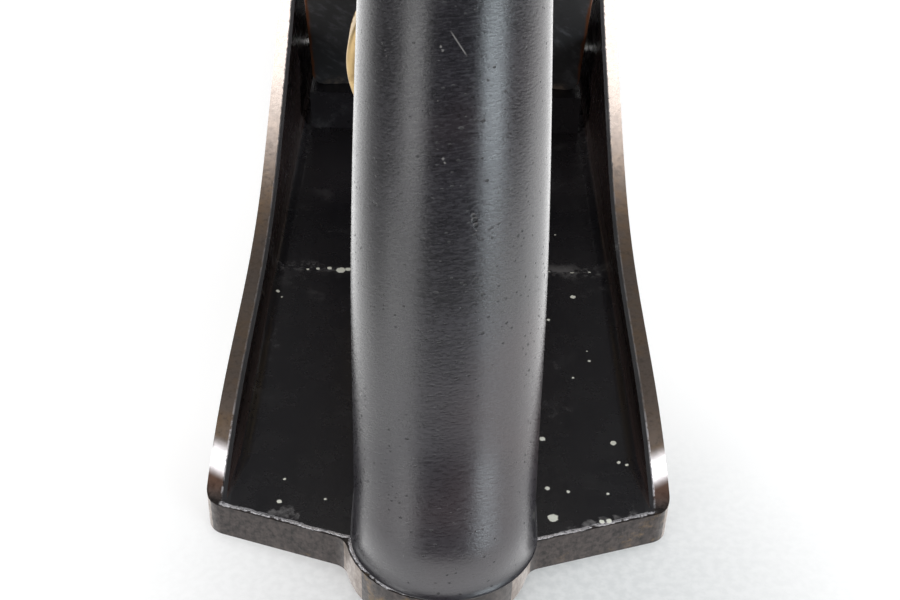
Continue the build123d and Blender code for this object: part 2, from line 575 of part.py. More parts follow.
def frog_adjusting_plate():
    """Plate on the frog's back whose forked foot sits in the screw's groove."""
    bend = ADJUSTER_HEIGHT + ADJUSTER_HEAD_RADIUS + LOOSE
    foot_low = ADJUSTER_HEIGHT - ADJUSTER_HEAD_RADIUS + 1.0
    back_line = frog_back_plane(SEAT_HEIGHT)
    outward = back_line.z_dir * ADJUSTER_PLATE
    inner_low = (frog_back_y_at(bend), bend)
    inner_high = (frog_back_y_at(ADJUSTER_PLATE_TOP), ADJUSTER_PLATE_TOP)
    outer_high = (inner_high[0] + outward.Y, inner_high[1] + outward.Z)
    shelf_top = bend + ADJUSTER_PLATE
    foot_front = ADJUSTER_PLATE_BACK + ADJUSTER_PLATE
    outer_low = (frog_back_y_at(shelf_top) + outward.Y / math.cos(LEAN_OF_BACK) ** 2, shelf_top)
    points = [(ADJUSTER_PLATE_BACK, foot_low), (foot_front, foot_low), (foot_front, bend),
              inner_low, inner_high, outer_high, outer_low, (ADJUSTER_PLATE_BACK, shelf_top)]
    plate = side_plate(points, -ADJUSTER_PLATE_WIDTH / 2, ADJUSTER_PLATE_WIDTH / 2)
    neck = ADJUSTER_RADIUS + LOOSE
    plate -= along_y(neck, ADJUSTER_HEIGHT, ADJUSTER_PLATE_BACK - 1, foot_front + 1)
    plate -= Pos(0, ADJUSTER_PLATE_BACK, ADJUSTER_HEIGHT - BEYOND) * Box(2 * neck, 6, 2 * BEYOND)
    hole = extrude(Circle(PLATE_SCREW_RADIUS), 2 * ADJUSTER_PLATE)
    return plate - frog_back_plane(PLATE_SCREW_HEIGHT) * hole


def plate_screw():
    """Small screw that holds the adjuster's plate to the frog."""
    shank = Pos(0, 0, -PLATE_SCREW_LENGTH) * extrude(Circle(PLATE_SCREW_RADIUS),
                                                    PLATE_SCREW_LENGTH + ADJUSTER_PLATE)
    head = Pos(0, 0, ADJUSTER_PLATE) * extrude(Circle(PLATE_SCREW_HEAD_RADIUS), PLATE_SCREW_HEAD)
    slot = Pos(0, 0, ADJUSTER_PLATE + PLATE_SCREW_HEAD) * Box(
        4 * PLATE_SCREW_HEAD_RADIUS, SCREWDRIVER_SLOT / 2, SCREWDRIVER_DEPTH)
    return frog_back_plane(PLATE_SCREW_HEIGHT) * (shank + head - slot)


# ================================================================ depth adjuster
WHEEL_BACK_Y = EDGE_Y - WHEEL_BACK
WHEEL_RIM_FRONT = WHEEL_BACK_Y + WHEEL_RIM
WHEEL_GROOVE_FRONT = WHEEL_RIM_FRONT + WHEEL_GROOVE
WHEEL_FRONT = WHEEL_GROOVE_FRONT + WHEEL_FLANGE
FORK_Y = (WHEEL_RIM_FRONT + WHEEL_GROOVE_FRONT) / 2


def depth_stud():
    """Threaded stud that the depth wheel runs on."""
    front = EDGE_Y - STUD_BOSS_BACK + STUD_IN_FROG
    stud = along_y(STUD_RADIUS, STUD_HEIGHT, EDGE_Y - STUD_BACK, front)
    return chamfer(stud.edges().sort_by(Axis.Y)[0], STUD_RADIUS / 4)


def depth_wheel():
    """Brass wheel with a knurled rim, a dished back and a grooved hub."""
    rim_edge = WHEEL_RADIUS - 1.0
    profile = Polyline(
        (STUD_RADIUS + RUNNING, WHEEL_BACK_Y + WHEEL_DISH),
        (WHEEL_HUB_RADIUS + 1.5, WHEEL_BACK_Y + WHEEL_DISH),
        (WHEEL_DISH_RADIUS, WHEEL_BACK_Y), (rim_edge, WHEEL_BACK_Y),
        (WHEEL_RADIUS, WHEEL_BACK_Y + 1.0), (WHEEL_RADIUS, WHEEL_RIM_FRONT - 1.0),
        (rim_edge, WHEEL_RIM_FRONT), (WHEEL_HUB_RADIUS, WHEEL_RIM_FRONT),
        (WHEEL_HUB_RADIUS, WHEEL_GROOVE_FRONT), (WHEEL_FLANGE_RADIUS, WHEEL_GROOVE_FRONT),
        (WHEEL_FLANGE_RADIUS, WHEEL_FRONT), (STUD_RADIUS + RUNNING, WHEEL_FRONT), close=True)
    wheel = Pos(0, 0, STUD_HEIGHT) * revolve(make_face(profile), Axis.Y)
    notch = Pos(WHEEL_RADIUS, (WHEEL_BACK_Y + WHEEL_RIM_FRONT) / 2, 0) * (
        Rot(0, 45, 0) * Box(2 * KNURL_DEPTH, WHEEL_RIM + 2, 2 * KNURL_DEPTH))
    notches = [Pos(0, 0, STUD_HEIGHT) * (Rot(0, 360 * n / WHEEL_KNURLS, 0) * notch)
               for n in range(WHEEL_KNURLS)]
    return wheel - notches


def y_lever():
    """Y-shaped lever: a tip in the cap iron's slot and a fork in the wheel's groove."""
    pivot = bed_point(Y_LEVER_PIVOT_Y, Y_LEVER_PIVOT_Z)
    tip_half = Y_LEVER_TIP / 2
    tip_top = CAP_IRON_TOP - SLIDE_GAP
    tip = [bed_point(Y_LEVER_TIP_Y - tip_half, tip_top), bed_point(Y_LEVER_TIP_Y + tip_half, tip_top),
           bed_point(Y_LEVER_TIP_Y + tip_half, -2.0), bed_point(Y_LEVER_PIVOT_Y + 3, -9.2),
           bed_point(Y_LEVER_PIVOT_Y - 3.6, -7.0), bed_point(Y_LEVER_TIP_Y - tip_half, -1.5)]
    half = Y_LEVER_WIDTH / 2
    lever = side_plate(tip, -half, half)
    lever += across(Y_LEVER_HUB_RADIUS, *pivot, half)
    fork_half = Y_LEVER_FORK / 2
    bridge_low = STUD_HEIGHT + WHEEL_FLANGE_RADIUS + 1.6
    bridge_high = bridge_low + 4.4
    arm = [(pivot[0] - 1, pivot[1] + 4.0), (pivot[0] + 1.5, pivot[1] - 4.0),
           (FORK_Y + fork_half, bridge_low), (FORK_Y - fork_half, bridge_low),
           (FORK_Y - fork_half, bridge_high)]
    lever += side_plate(arm, -half, half)
    outer = WHEEL_HUB_RADIUS + LOOSE + Y_LEVER_PRONG
    prongs = side_plate(
        [(FORK_Y - fork_half, STUD_HEIGHT - 2.5), (FORK_Y + fork_half, STUD_HEIGHT - 2.5),
         (FORK_Y + fork_half, bridge_high), (FORK_Y - fork_half, bridge_high)], -outer, outer)
    crotch = WHEEL_HUB_RADIUS + LOOSE
    crotch_z = STUD_HEIGHT + Y_LEVER_FORK_DROP
    prongs -= along_y(crotch, crotch_z, FORK_Y - BEYOND, FORK_Y + BEYOND)
    prongs -= Pos(0, FORK_Y, crotch_z - BEYOND) * Box(2 * crotch, 2 * BEYOND, 2 * BEYOND)
    lever += prongs
    return lever - across(Y_LEVER_PIN_RADIUS + RUNNING, *pivot, Y_LEVER_WIDTH)


def y_lever_pin():
    """Cross pin in the frog that the Y-shaped lever turns on."""
    return across(Y_LEVER_PIN_RADIUS, *bed_point(Y_LEVER_PIVOT_Y, Y_LEVER_PIVOT_Z),
                  Y_LEVER_PIN_LENGTH / 2)


# ================================================================ lateral lever
LATERAL_TOP = -LATERAL_DEPTH
LATERAL_BOTTOM = LATERAL_TOP - LATERAL_THICKNESS


def lateral_lever():
    """Flat lever under the irons, with a stud for its roller and a finger tab."""
    strip_end = LATERAL_END_Y - LATERAL_WIDTH / 2
    plan = Pos(0, (LATERAL_DISC_Y + strip_end) / 2) * Rectangle(
        LATERAL_WIDTH, strip_end - LATERAL_DISC_Y)
    plan += Pos(0, LATERAL_PIVOT_Y) * Circle(LATERAL_EYE_RADIUS)
    plan += Pos(0, LATERAL_DISC_Y) * Circle(LATERAL_EYE_RADIUS)
    plan += Pos(0, LATERAL_END_Y - LATERAL_TAB_WIDTH / 4) * Rectangle(
        LATERAL_TAB_WIDTH, LATERAL_TAB_WIDTH / 2)
    lever = bed_solid(plan, LATERAL_BOTTOM, LATERAL_TOP)
    tab = bed_box(LATERAL_TAB_WIDTH, LATERAL_END_Y - LATERAL_THICKNESS, LATERAL_END_Y,
                  LATERAL_BOTTOM - LATERAL_TAB, LATERAL_TOP)
    lever += tab
    corners = lever.edges().filter_by(Axis(BED_ORIGIN, UP_BED)).sort_by(
        Axis(BED_ORIGIN, OFF_BED))[:2]
    lever = fillet(corners, LATERAL_TAB_WIDTH / 3)
    stud_top = SLIDE_GAP + IRON_THICKNESS - LOOSE
    lever += bed_cylinder(DISC_STUD_RADIUS, LATERAL_DISC_Y, LATERAL_TOP - 0.5, stud_top)
    return lever - bed_cylinder(RIVET_RADIUS + RUNNING, LATERAL_PIVOT_Y, LATERAL_BOTTOM - 1, 1)


def lateral_lever_rivet():
    """Headed rivet at the frog's top that the lateral lever turns on."""
    rivet = bed_cylinder(RIVET_RADIUS, LATERAL_PIVOT_Y, -FROG_PLATE, -SLIDE_GAP)
    return rivet + bed_cylinder(RIVET_RADIUS * 1.7, LATERAL_PIVOT_Y, LATERAL_TOP + SLIDE_GAP / 2,
                                -SLIDE_GAP)


def lateral_roller():
    """Small disc on the lever's stud that fills the width of the iron's slot."""
    low = SLIDE_GAP
    ring = Circle(DISC_RADIUS) - Circle(DISC_STUD_RADIUS + DISC_PLAY)
    return bed_solid(Pos(0, LATERAL_DISC_Y) * ring, low, low + DISC_THICKNESS)


# ================================================================ irons
def plane_iron():
    """Cutting iron: bevelled edge, rounded top and keyhole slot."""
    blank = Pos(0, IRON_LENGTH / 2) * Rectangle(IRON_WIDTH, IRON_LENGTH)
    blank = fillet(blank.vertices().sort_by(Axis.Y)[-2:], IRON_TOP_RADIUS)
    middle = (IRON_SLOT_START + IRON_SLOT_END) / 2
    blank -= Pos(0, middle) * SlotCenterToCenter(
        IRON_SLOT_END - IRON_SLOT_START - IRON_SLOT_WIDTH / 2, IRON_SLOT_WIDTH, rotation=90)
    blank -= Pos(0, IRON_SLOT_START) * Circle(IRON_HOLE_RADIUS)
    iron = bed_solid(blank, SLIDE_GAP, SLIDE_GAP + IRON_THICKNESS)
    run = IRON_THICKNESS / math.tan(math.radians(IRON_BEVEL))
    wedge = bed_side_plate([(0, SLIDE_GAP + IRON_THICKNESS), (-1, SLIDE_GAP - 1),
                            (run + 1, SLIDE_GAP - 1), (run, SLIDE_GAP)], IRON_WIDTH)
    return iron - wedge


def cap_iron():
    """Cap iron: flat strip with a curved hump just behind the cutting edge."""
    low = CAP_IRON_Z
    high = CAP_IRON_TOP
    start = CAP_IRON_SETBACK
    hump_end = start + CAP_HUMP_LENGTH
    middle = start + CAP_HUMP_LENGTH / 2
    outer = Spline(bed_point(start, low), bed_point(middle - 1, high + CAP_HUMP_RISE),
                   bed_point(hump_end + 3, high),
                   tangents=((0, 1), (-math.cos(SLOPE), math.sin(SLOPE))))
    inner = Spline(bed_point(start + 1.4, low), bed_point(middle, low + CAP_HUMP_HOLLOW),
                   bed_point(hump_end, low))
    top = Polyline(bed_point(hump_end + 3, high), bed_point(CAP_IRON_LENGTH, high),
                   bed_point(CAP_IRON_LENGTH, low), bed_point(hump_end, low))
    toe = Line(bed_point(start, low), bed_point(start + 1.4, low))
    side = make_face([outer, top, inner, toe])
    solid = extrude(Plane.YZ.offset(-IRON_WIDTH / 2) * side, IRON_WIDTH)
    plan = Pos(0, CAP_IRON_LENGTH / 2) * Rectangle(IRON_WIDTH, CAP_IRON_LENGTH)
    plan = fillet(plan.vertices().sort_by(Axis.Y)[-2:], CAP_TOP_RADIUS)
    solid &= bed_solid(plan, -1, high + 2 * CAP_HUMP_RISE)
    hole = SlotCenterToCenter(CAP_HOLE_LENGTH - 2 * CAP_HOLE_RADIUS, 2 * CAP_HOLE_RADIUS,
                              rotation=90)
    solid -= bed_solid(Pos(0, LEVER_SCREW_Y) * hole, low - 1, high + 1)
    solid -= bed_cylinder(CAP_SCREW_RADIUS, CAP_SCREW_Y, low - 1, high + 1)
    solid -= bed_box(YOKE_SLOT_WIDTH, Y_LEVER_TIP_Y - YOKE_SLOT_LENGTH / 2,
                     Y_LEVER_TIP_Y + YOKE_SLOT_LENGTH / 2, low - 1, high + 1)
    return solid


def cap_iron_screw():
    """Broad-headed screw that clamps the two irons together."""
    screw = bed_cylinder(CAP_SCREW_RADIUS, CAP_SCREW_Y, 0, CAP_IRON_TOP)
    screw += bed_cylinder(CAP_SCREW_HEAD_RADIUS, CAP_SCREW_Y, SLIDE_GAP - CAP_SCREW_HEAD, SLIDE_GAP)
    slot = BED * (Pos(0, CAP_SCREW_Y, SLIDE_GAP - CAP_SCREW_HEAD) * Box(
        4 * CAP_SCREW_HEAD_RADIUS, SCREWDRIVER_SLOT, 2 * SCREWDRIVER_DEPTH))
    return screw - slot


# ================================================================ lever cap
CAM_NOTCH_Y = CAM_PIN_Y - CAM_LOBE_RADIUS - 4.0


def lever_cap_side():
    """Side view of the lever cap in bed coordinates: lip, arch and top."""
    lip_z = CAP_IRON_TOP + CAP_HUMP_RISE + LOOSE
    lip_front = LEVER_CAP_START
    return [(lip_front, lip_z), (lip_front + 10, LEVER_CAP_Z + 0.4),
            (lip_front + 22, LEVER_CAP_Z), (LEVER_CAP_END, LEVER_CAP_Z),
            (LEVER_CAP_END, LEVER_CAP_TOP - 0.6), (LEVER_CAP_SHOULDER, LEVER_CAP_TOP),
            (lip_front + 30, LEVER_CAP_TOP), (lip_front + 10, LEVER_CAP_TOP - 0.5),
            (lip_front + 1.5, lip_z + 1.4)]


def lever_cap_plan():
    """Outline of the lever cap seen square to the bed."""
    half = LEVER_CAP_WIDTH / 2
    top_half = LEVER_CAP_TOP_WIDTH / 2
    right = [(half, LEVER_CAP_START), (half, LEVER_CAP_SHOULDER - 20)]
    waist = Spline(right[-1], ((half + top_half) / 2, LEVER_CAP_SHOULDER + 2),
                   (top_half, LEVER_CAP_END - 9), tangents=((0, 1), (0, 1)))
    other = Spline((-top_half, LEVER_CAP_END - 9), (-(half + top_half) / 2, LEVER_CAP_SHOULDER + 2),
                   (-half, LEVER_CAP_SHOULDER - 20), tangents=((0, -1), (0, -1)))
    crown = Polyline((top_half, LEVER_CAP_END - 9), (top_half, LEVER_CAP_END),
                     (-top_half, LEVER_CAP_END), (-top_half, LEVER_CAP_END - 9))
    foot = Polyline((-half, LEVER_CAP_SHOULDER - 20), (-half, LEVER_CAP_START), *right)
    face = make_face([waist, crown, other, foot])
    corners = face.vertices().sort_by(Axis.Y)[-2:]
    return fillet(corners, 6.0)


def lever_cap():
    """Lever cap: arched clamp with a keyhole, a rim underneath and cam ears."""
    cap = bed_side_plate(lever_cap_side(), LEVER_CAP_WIDTH)
    cap &= bed_solid(lever_cap_plan(), 0, 2 * LEVER_CAP_TOP)
    hollow = offset(Pos(0, 56) * Rectangle(LEVER_CAP_WIDTH - 22, 50), -1)
    cap -= bed_solid(hollow, LEVER_CAP_Z - 1, LEVER_CAP_Z + 1.0)
    narrow = 2 * (LEVER_SCREW_RADIUS + KEYHOLE_SIDE)
    keyhole = Pos(0, LEVER_SCREW_Y - KEYHOLE_TRAVEL / 2) * SlotCenterToCenter(
        KEYHOLE_TRAVEL, narrow, rotation=90)
    wide = Pos(0, LEVER_SCREW_Y - KEYHOLE_TRAVEL) * Circle(LEVER_SCREW_HEAD_RADIUS + KEYHOLE_SIDE)
    cap -= bed_solid(keyhole + wide, 0, 2 * LEVER_CAP_TOP)
    notch_width = CAM_WIDTH + 2 * LOOSE
    cap -= bed_box(notch_width, CAM_NOTCH_Y, LEVER_CAP_END + BEYOND, 0, 2 * LEVER_CAP_TOP)
    for side in (-1, 1):
        ear = ear_solid(side * (notch_width / 2 + EAR_WIDTH / 2))
        cap += ear
    cap -= across(CAM_PIN_RADIUS, *bed_point(CAM_PIN_Y, CAM_PIN_Z), LEVER_CAP_WIDTH)
    cap -= bed_cylinder(SPRING_RIVET_RADIUS, SPRING_RIVET_Y, 0, 2 * LEVER_CAP_TOP)
    return cap


def ear_solid(x):
    """One ear at the cap's top end that holds the cam's pin."""
    y, z = bed_point(CAM_PIN_Y, CAM_PIN_Z)
    ear = across(EAR_RADIUS, y, z, EAR_WIDTH / 2)
    root = bed_side_plate([(LEVER_CAP_END - 8, LEVER_CAP_Z + 0.2), (CAM_PIN_Y, CAM_PIN_Z - EAR_RADIUS),
                           (CAM_PIN_Y, CAM_PIN_Z + EAR_RADIUS - 0.6),
                           (LEVER_CAP_END - 8, LEVER_CAP_TOP - 0.7)], EAR_WIDTH / 2)
    return Pos(x, 0, 0) * (ear + root)


def lever_cap_cam():
    """Cam lever: an off-centre lobe on the pin and a thumb piece."""
    half = CAM_WIDTH / 2
    y, z = CAM_PIN_Y, CAM_PIN_Z
    cam = across(CAM_LOBE_RADIUS, *bed_point(y, z), half)
    start = y + 1.0
    low = z + CAM_LOBE_RADIUS - CAM_LEVER_THICKNESS
    arm = bed_side_plate([(y, z - 2.2), (start + 6, low), (CAM_LEVER_END, low + 1.0),
                          (CAM_LEVER_END, low + 1.0 + CAM_LEVER_THICKNESS * 0.7),
                          (start + 8, z + CAM_LOBE_RADIUS), (y, z + CAM_LOBE_RADIUS)], CAM_TIP_WIDTH)
    tip_half = CAM_TIP_WIDTH / 2
    plan_points = [(half, y - 1), (half, y + 8), (tip_half, CAM_LEVER_END - 9),
                   (tip_half, CAM_LEVER_END), (-tip_half, CAM_LEVER_END),
                   (-tip_half, CAM_LEVER_END - 9), (-half, y + 8), (-half, y - 1)]
    plan = make_face(Polyline(*plan_points, close=True))
    plan = fillet(plan.vertices().sort_by(Axis.Y)[-2:], 8.0)
    arm &= bed_solid(plan, 0, 2 * LEVER_CAP_TOP)
    cam += arm
    return cam - across(CAM_PIN_RADIUS + RUNNING, *bed_point(y, z), CAM_TIP_WIDTH)


def cam_pin():
    """Cross pin through the ears and the cam."""
    reach = CAM_WIDTH / 2 + LOOSE + EAR_WIDTH
    return across(CAM_PIN_RADIUS, *bed_point(CAM_PIN_Y, CAM_PIN_Z), reach)


def lever_cap_spring():
    """Flat spring under the cap that the cam presses on."""
    root_high = LEVER_CAP_Z
    root_low = root_high - SPRING_THICKNESS
    tip_high = CAM_PIN_Z - CAM_LOBE_RADIUS - SLIDE_GAP
    tip_low = tip_high - SPRING_THICKNESS
    bend = CAM_NOTCH_Y - 3
    points = [(SPRING_RIVET_Y - 5, root_low), (bend - 6, root_low), (bend + 2, tip_low),
              (SPRING_END, tip_low), (SPRING_END, tip_high), (bend + 2, tip_high),
              (bend - 6, root_high), (SPRING_RIVET_Y - 5, root_high)]
    spring = bed_side_plate(points, SPRING_WIDTH / 2)
    return spring - bed_cylinder(SPRING_RIVET_RADIUS, SPRING_RIVET_Y, 0, 2 * LEVER_CAP_TOP)


def spring_rivet():
    """Rivet that fastens the spring to the lever cap."""
    low = LEVER_CAP_Z - SPRING_THICKNESS
    rivet = bed_cylinder(SPRING_RIVET_RADIUS, SPRING_RIVET_Y, low, LEVER_CAP_TOP - 0.3)
    return rivet + bed_cylinder(SPRING_RIVET_RADIUS * 1.6, SPRING_RIVET_Y, low - 0.8, low)


def lever_cap_screw():
    """Screw in the frog whose head holds the lever cap down."""
    head_low = LEVER_CAP_TOP + SLIDE_GAP
    screw = bed_cylinder(LEVER_SCREW_RADIUS, LEVER_SCREW_Y, -LEVER_SCREW_IN_FROG, head_low)
    head = bed_cylinder(LEVER_SCREW_HEAD_RADIUS, LEVER_SCREW_Y, head_low, head_low + LEVER_SCREW_HEAD)
    rim = head.edges().sort_by(Axis(BED_ORIGIN, OFF_BED))[-1]
    head = fillet(rim, LEVER_SCREW_HEAD * 0.6)
    slot = BED * (Pos(0, LEVER_SCREW_Y, head_low + LEVER_SCREW_HEAD) * Box(
        4 * LEVER_SCREW_HEAD_RADIUS, SCREWDRIVER_SLOT, 2 * SCREWDRIVER_DEPTH))
    return screw + (head - slot)


# ================================================================ tote and knob
def tote_section(back, front, width):
    """Rounded section of the tote between a back and a front (Y, Z) point."""
    reach = math.dist(back, front)
    origin = (0, (back[0] + front[0]) / 2, (back[1] + front[1]) / 2)
    across_dir = Vector(0, (front[0] - back[0]) / reach, (front[1] - back[1]) / reach)
    plane = Plane(origin=origin, x_dir=across_dir, z_dir=Vector(1, 0, 0).cross(across_dir))
    round_end = min(width / 2, reach * TOTE_ROUND_SHARE)
    flat = reach / 2 - round_end
    ends = [EllipticalCenterArc((flat, 0), round_end, width / 2, -90, arc_size=180),
            EllipticalCenterArc((-flat, 0), round_end, width / 2, 90, arc_size=180)]
    sides = [Line((flat, width / 2), (-flat, width / 2)), Line((-flat, -width / 2), (flat, -width / 2))]
    return plane * make_face([ends[0], sides[0], ends[1], sides[1]])


# Sections up the tote as shares: the back and the front point as (share of
# TOTE_BASE_LENGTH, share of TOTE_HEIGHT), then the share of TOTE_WIDTH.
TOTE_SECTIONS = [
    ((0.003, 0.014), (0.786, 0.014), 0.950),
    ((0.036, 0.086), (0.619, 0.086), 0.958),
    ((0.089, 0.171), (0.494, 0.162), 0.975),
    ((0.137, 0.295), (0.452, 0.257), 1.000),
    ((0.196, 0.448), (0.512, 0.371), 0.980),
    ((0.262, 0.590), (0.589, 0.514), 0.945),
    ((0.304, 0.705), (0.655, 0.657), 0.900),
    ((0.298, 0.800), (0.649, 0.810), 0.860),
    ((0.238, 0.867), (0.500, 0.938), 0.790),
    ((0.160, 0.922), (0.310, 0.998), 0.630),
    ((0.115, 0.956), (0.205, 1.006), 0.440),
    ((0.100, 0.972), (0.146, 0.998), 0.240),
]


def tote_grip():
    """Grip and horn: a loft up the leaning handle that curls back to the horn."""
    def placed(share):
        """Point of the side view from its shares of length and height."""
        return (TOTE_REAR_Y + share[0] * TOTE_BASE_LENGTH, SOLE_THICKNESS + share[1] * TOTE_HEIGHT)
    return loft([tote_section(placed(back), placed(front), width * TOTE_WIDTH)
                 for back, front, width in TOTE_SECTIONS])


def tote():
    """Tote: the shaped wooden handle behind the frog."""
    half = TOTE_BASE_LENGTH / 2
    foot_face = Pos(0, TOTE_REAR_Y + half) * SlotOverall(
        TOTE_BASE_LENGTH, TOTE_WIDTH * TOTE_SECTIONS[0][2], rotation=90)
    foot = Pos(0, 0, SOLE_THICKNESS) * extrude(foot_face, TOTE_FOOT_HEIGHT)
    foot = fillet(foot.edges().group_by(Axis.Z)[-1], TOTE_FOOT_RADIUS)
    handle = foot + tote_grip()
    seat_plane = TOTE_BOLT_PLANE.offset(TOTE_SEAT)
    handle -= seat_plane * extrude(Circle(TOTE_NUT_RADIUS + 1.0), 30)
    handle -= seat_plane * (Pos(0, 0, -TOTE_NUT_NECK - 1) * extrude(
        Circle(TOTE_NUT_NECK_RADIUS + RUNNING), TOTE_NUT_NECK + 2))
    handle -= TOTE_BOLT_PLANE * (Pos(0, 0, -BEYOND) * extrude(
        Circle(TOTE_BORE_RADIUS), TOTE_SEAT + 2 * BEYOND))
    return handle - TOTE_BOLT_PLANE * (Pos(0, 0, -BEYOND) * extrude(
        Circle(TOTE_BOSS_RADIUS + LOOSE), BEYOND + TOTE_BOSS_HEIGHT + LOOSE))


def round_nut(seat_plane):
    """Brass nut: a domed, slotted head and a neck that reaches into the wood."""
    neck = Pos(0, 0, -TOTE_NUT_NECK) * extrude(Circle(TOTE_NUT_NECK_RADIUS), TOTE_NUT_NECK)
    dome = extrude(Circle(TOTE_NUT_RADIUS), TOTE_NUT_DOME)
    dome = fillet(dome.edges().sort_by(Axis.Z)[-1], TOTE_NUT_DOME * 0.8)
    slot = Pos(0, 0, TOTE_NUT_DOME) * Box(4 * TOTE_NUT_RADIUS, SCREWDRIVER_SLOT, 2 * SCREWDRIVER_DEPTH)
    bore = Pos(0, 0, -TOTE_NUT_NECK) * extrude(Circle(TOTE_BOLT_RADIUS), TOTE_NUT_NECK)
    return seat_plane * (neck + dome - slot - bore)


def tote_nut():
    """Brass nut at the top of the tote."""
    return round_nut(TOTE_BOLT_PLANE.offset(TOTE_SEAT))


def tote_bolt():
    """Steel rod from the casting's boss up through the tote."""
    return TOTE_BOLT_PLANE * (Pos(0, 0, -BOLT_DEPTH) * extrude(
        Circle(TOTE_BOLT_RADIUS), TOTE_SEAT + BOLT_DEPTH))


KNOB_LOW = SOLE_THICKNESS + KNOB_BOSS_HEIGHT
KNOB_TOP = KNOB_LOW + KNOB_HEIGHT


def knob():
    """Turned wooden knob: flared foot, waist and round top."""
    top_flat = TOTE_NUT_RADIUS + 1.5
    ball = (KNOB_RADIUS, KNOB_LOW + KNOB_BALL_HEIGHT)
    waist = Spline((KNOB_BASE_RADIUS, KNOB_LOW + KNOB_FOOT),
                   (KNOB_NECK_RADIUS, KNOB_LOW + KNOB_NECK_HEIGHT), ball,
                   tangents=((-1, 0.2), (0, 1)))
    crown = Spline(ball, (top_flat, KNOB_TOP), tangents=((0, 1), (-1, 0.05)))
    rest = Polyline((top_flat, KNOB_TOP), (0, KNOB_TOP), (0, KNOB_LOW),
                    (KNOB_BASE_RADIUS, KNOB_LOW), (KNOB_BASE_RADIUS, KNOB_LOW + KNOB_FOOT))
    turned = Pos(0, KNOB_Y, 0) * revolve(Plane.XZ * make_face([waist, crown, rest]), Axis.Z)
    turned -= upright(TOTE_BORE_RADIUS, 0, KNOB_Y, KNOB_LOW - 1, KNOB_TOP + 1)
    return turned - upright(TOTE_NUT_NECK_RADIUS + RUNNING, 0, KNOB_Y,
                            KNOB_TOP - TOTE_NUT_NECK - 1, KNOB_TOP + 1)


def knob_nut():
    """Brass nut on top of the knob."""
    return round_nut(Plane(origin=(0, KNOB_Y, KNOB_TOP), z_dir=(0, 0, 1)))


def knob_bolt():
    """Steel rod from the casting's boss up through the knob."""
    return upright(TOTE_BOLT_RADIUS, 0, KNOB_Y, SOLE_THICKNESS - BOLT_DEPTH, KNOB_TOP)


PIECES = [
    plane_body, frog, frog_screws, frog_washers, frog_adjusting_screw, frog_adjusting_plate,
    plate_screw, depth_stud, depth_wheel, y_lever, y_lever_pin, lateral_lever,
    lateral_lever_rivet, lateral_roller, plane_iron, cap_iron, cap_iron_screw, lever_cap,
    lever_cap_cam, cam_pin, lever_cap_spring, spring_rivet, lever_cap_screw, tote, tote_nut,
    tote_bolt, knob, knob_nut, knob_bolt,
]

for piece in PIECES:
    export_step(piece(), f"parts/{piece.__name__}.step")
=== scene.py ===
import logging
import math
from dataclasses import dataclass
from enum import Enum
from functools import lru_cache
from typing import Any

import bmesh
import bpy
from mathutils import Matrix, Vector


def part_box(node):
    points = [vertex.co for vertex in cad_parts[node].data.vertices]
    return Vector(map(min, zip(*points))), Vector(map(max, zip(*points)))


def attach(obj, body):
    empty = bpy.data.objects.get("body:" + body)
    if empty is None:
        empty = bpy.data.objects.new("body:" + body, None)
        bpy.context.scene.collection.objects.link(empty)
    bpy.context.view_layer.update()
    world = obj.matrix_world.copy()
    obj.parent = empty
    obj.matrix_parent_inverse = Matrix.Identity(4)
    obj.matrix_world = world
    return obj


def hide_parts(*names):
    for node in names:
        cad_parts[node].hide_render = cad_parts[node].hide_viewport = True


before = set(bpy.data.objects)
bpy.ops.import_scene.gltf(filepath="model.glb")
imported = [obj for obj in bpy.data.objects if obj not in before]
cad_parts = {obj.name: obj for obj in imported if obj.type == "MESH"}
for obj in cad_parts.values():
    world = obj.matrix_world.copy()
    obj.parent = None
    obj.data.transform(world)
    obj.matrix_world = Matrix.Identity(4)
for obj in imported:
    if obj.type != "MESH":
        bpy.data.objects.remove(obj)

LOG = logging.getLogger("hand_plane")
MM = 0.001
Colour = tuple[float, float, float]
Point = tuple[float, float, float]
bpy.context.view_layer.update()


def srgb(red: float, green: float, blue: float) -> Colour:
    """Turn a colour of 0 to 255 a channel into Blender's linear values.

    Args:
        red: Red channel.
        green: Green channel.
        blue: Blue channel.

    Returns:
        The linear colour.
    """
    def linear(value: float) -> float:
        """One channel, linear."""
        share = value / 255
        return share / 12.92 if share <= 0.04045 else ((share + 0.055) / 1.055) ** 2.4
    return linear(red), linear(green), linear(blue)


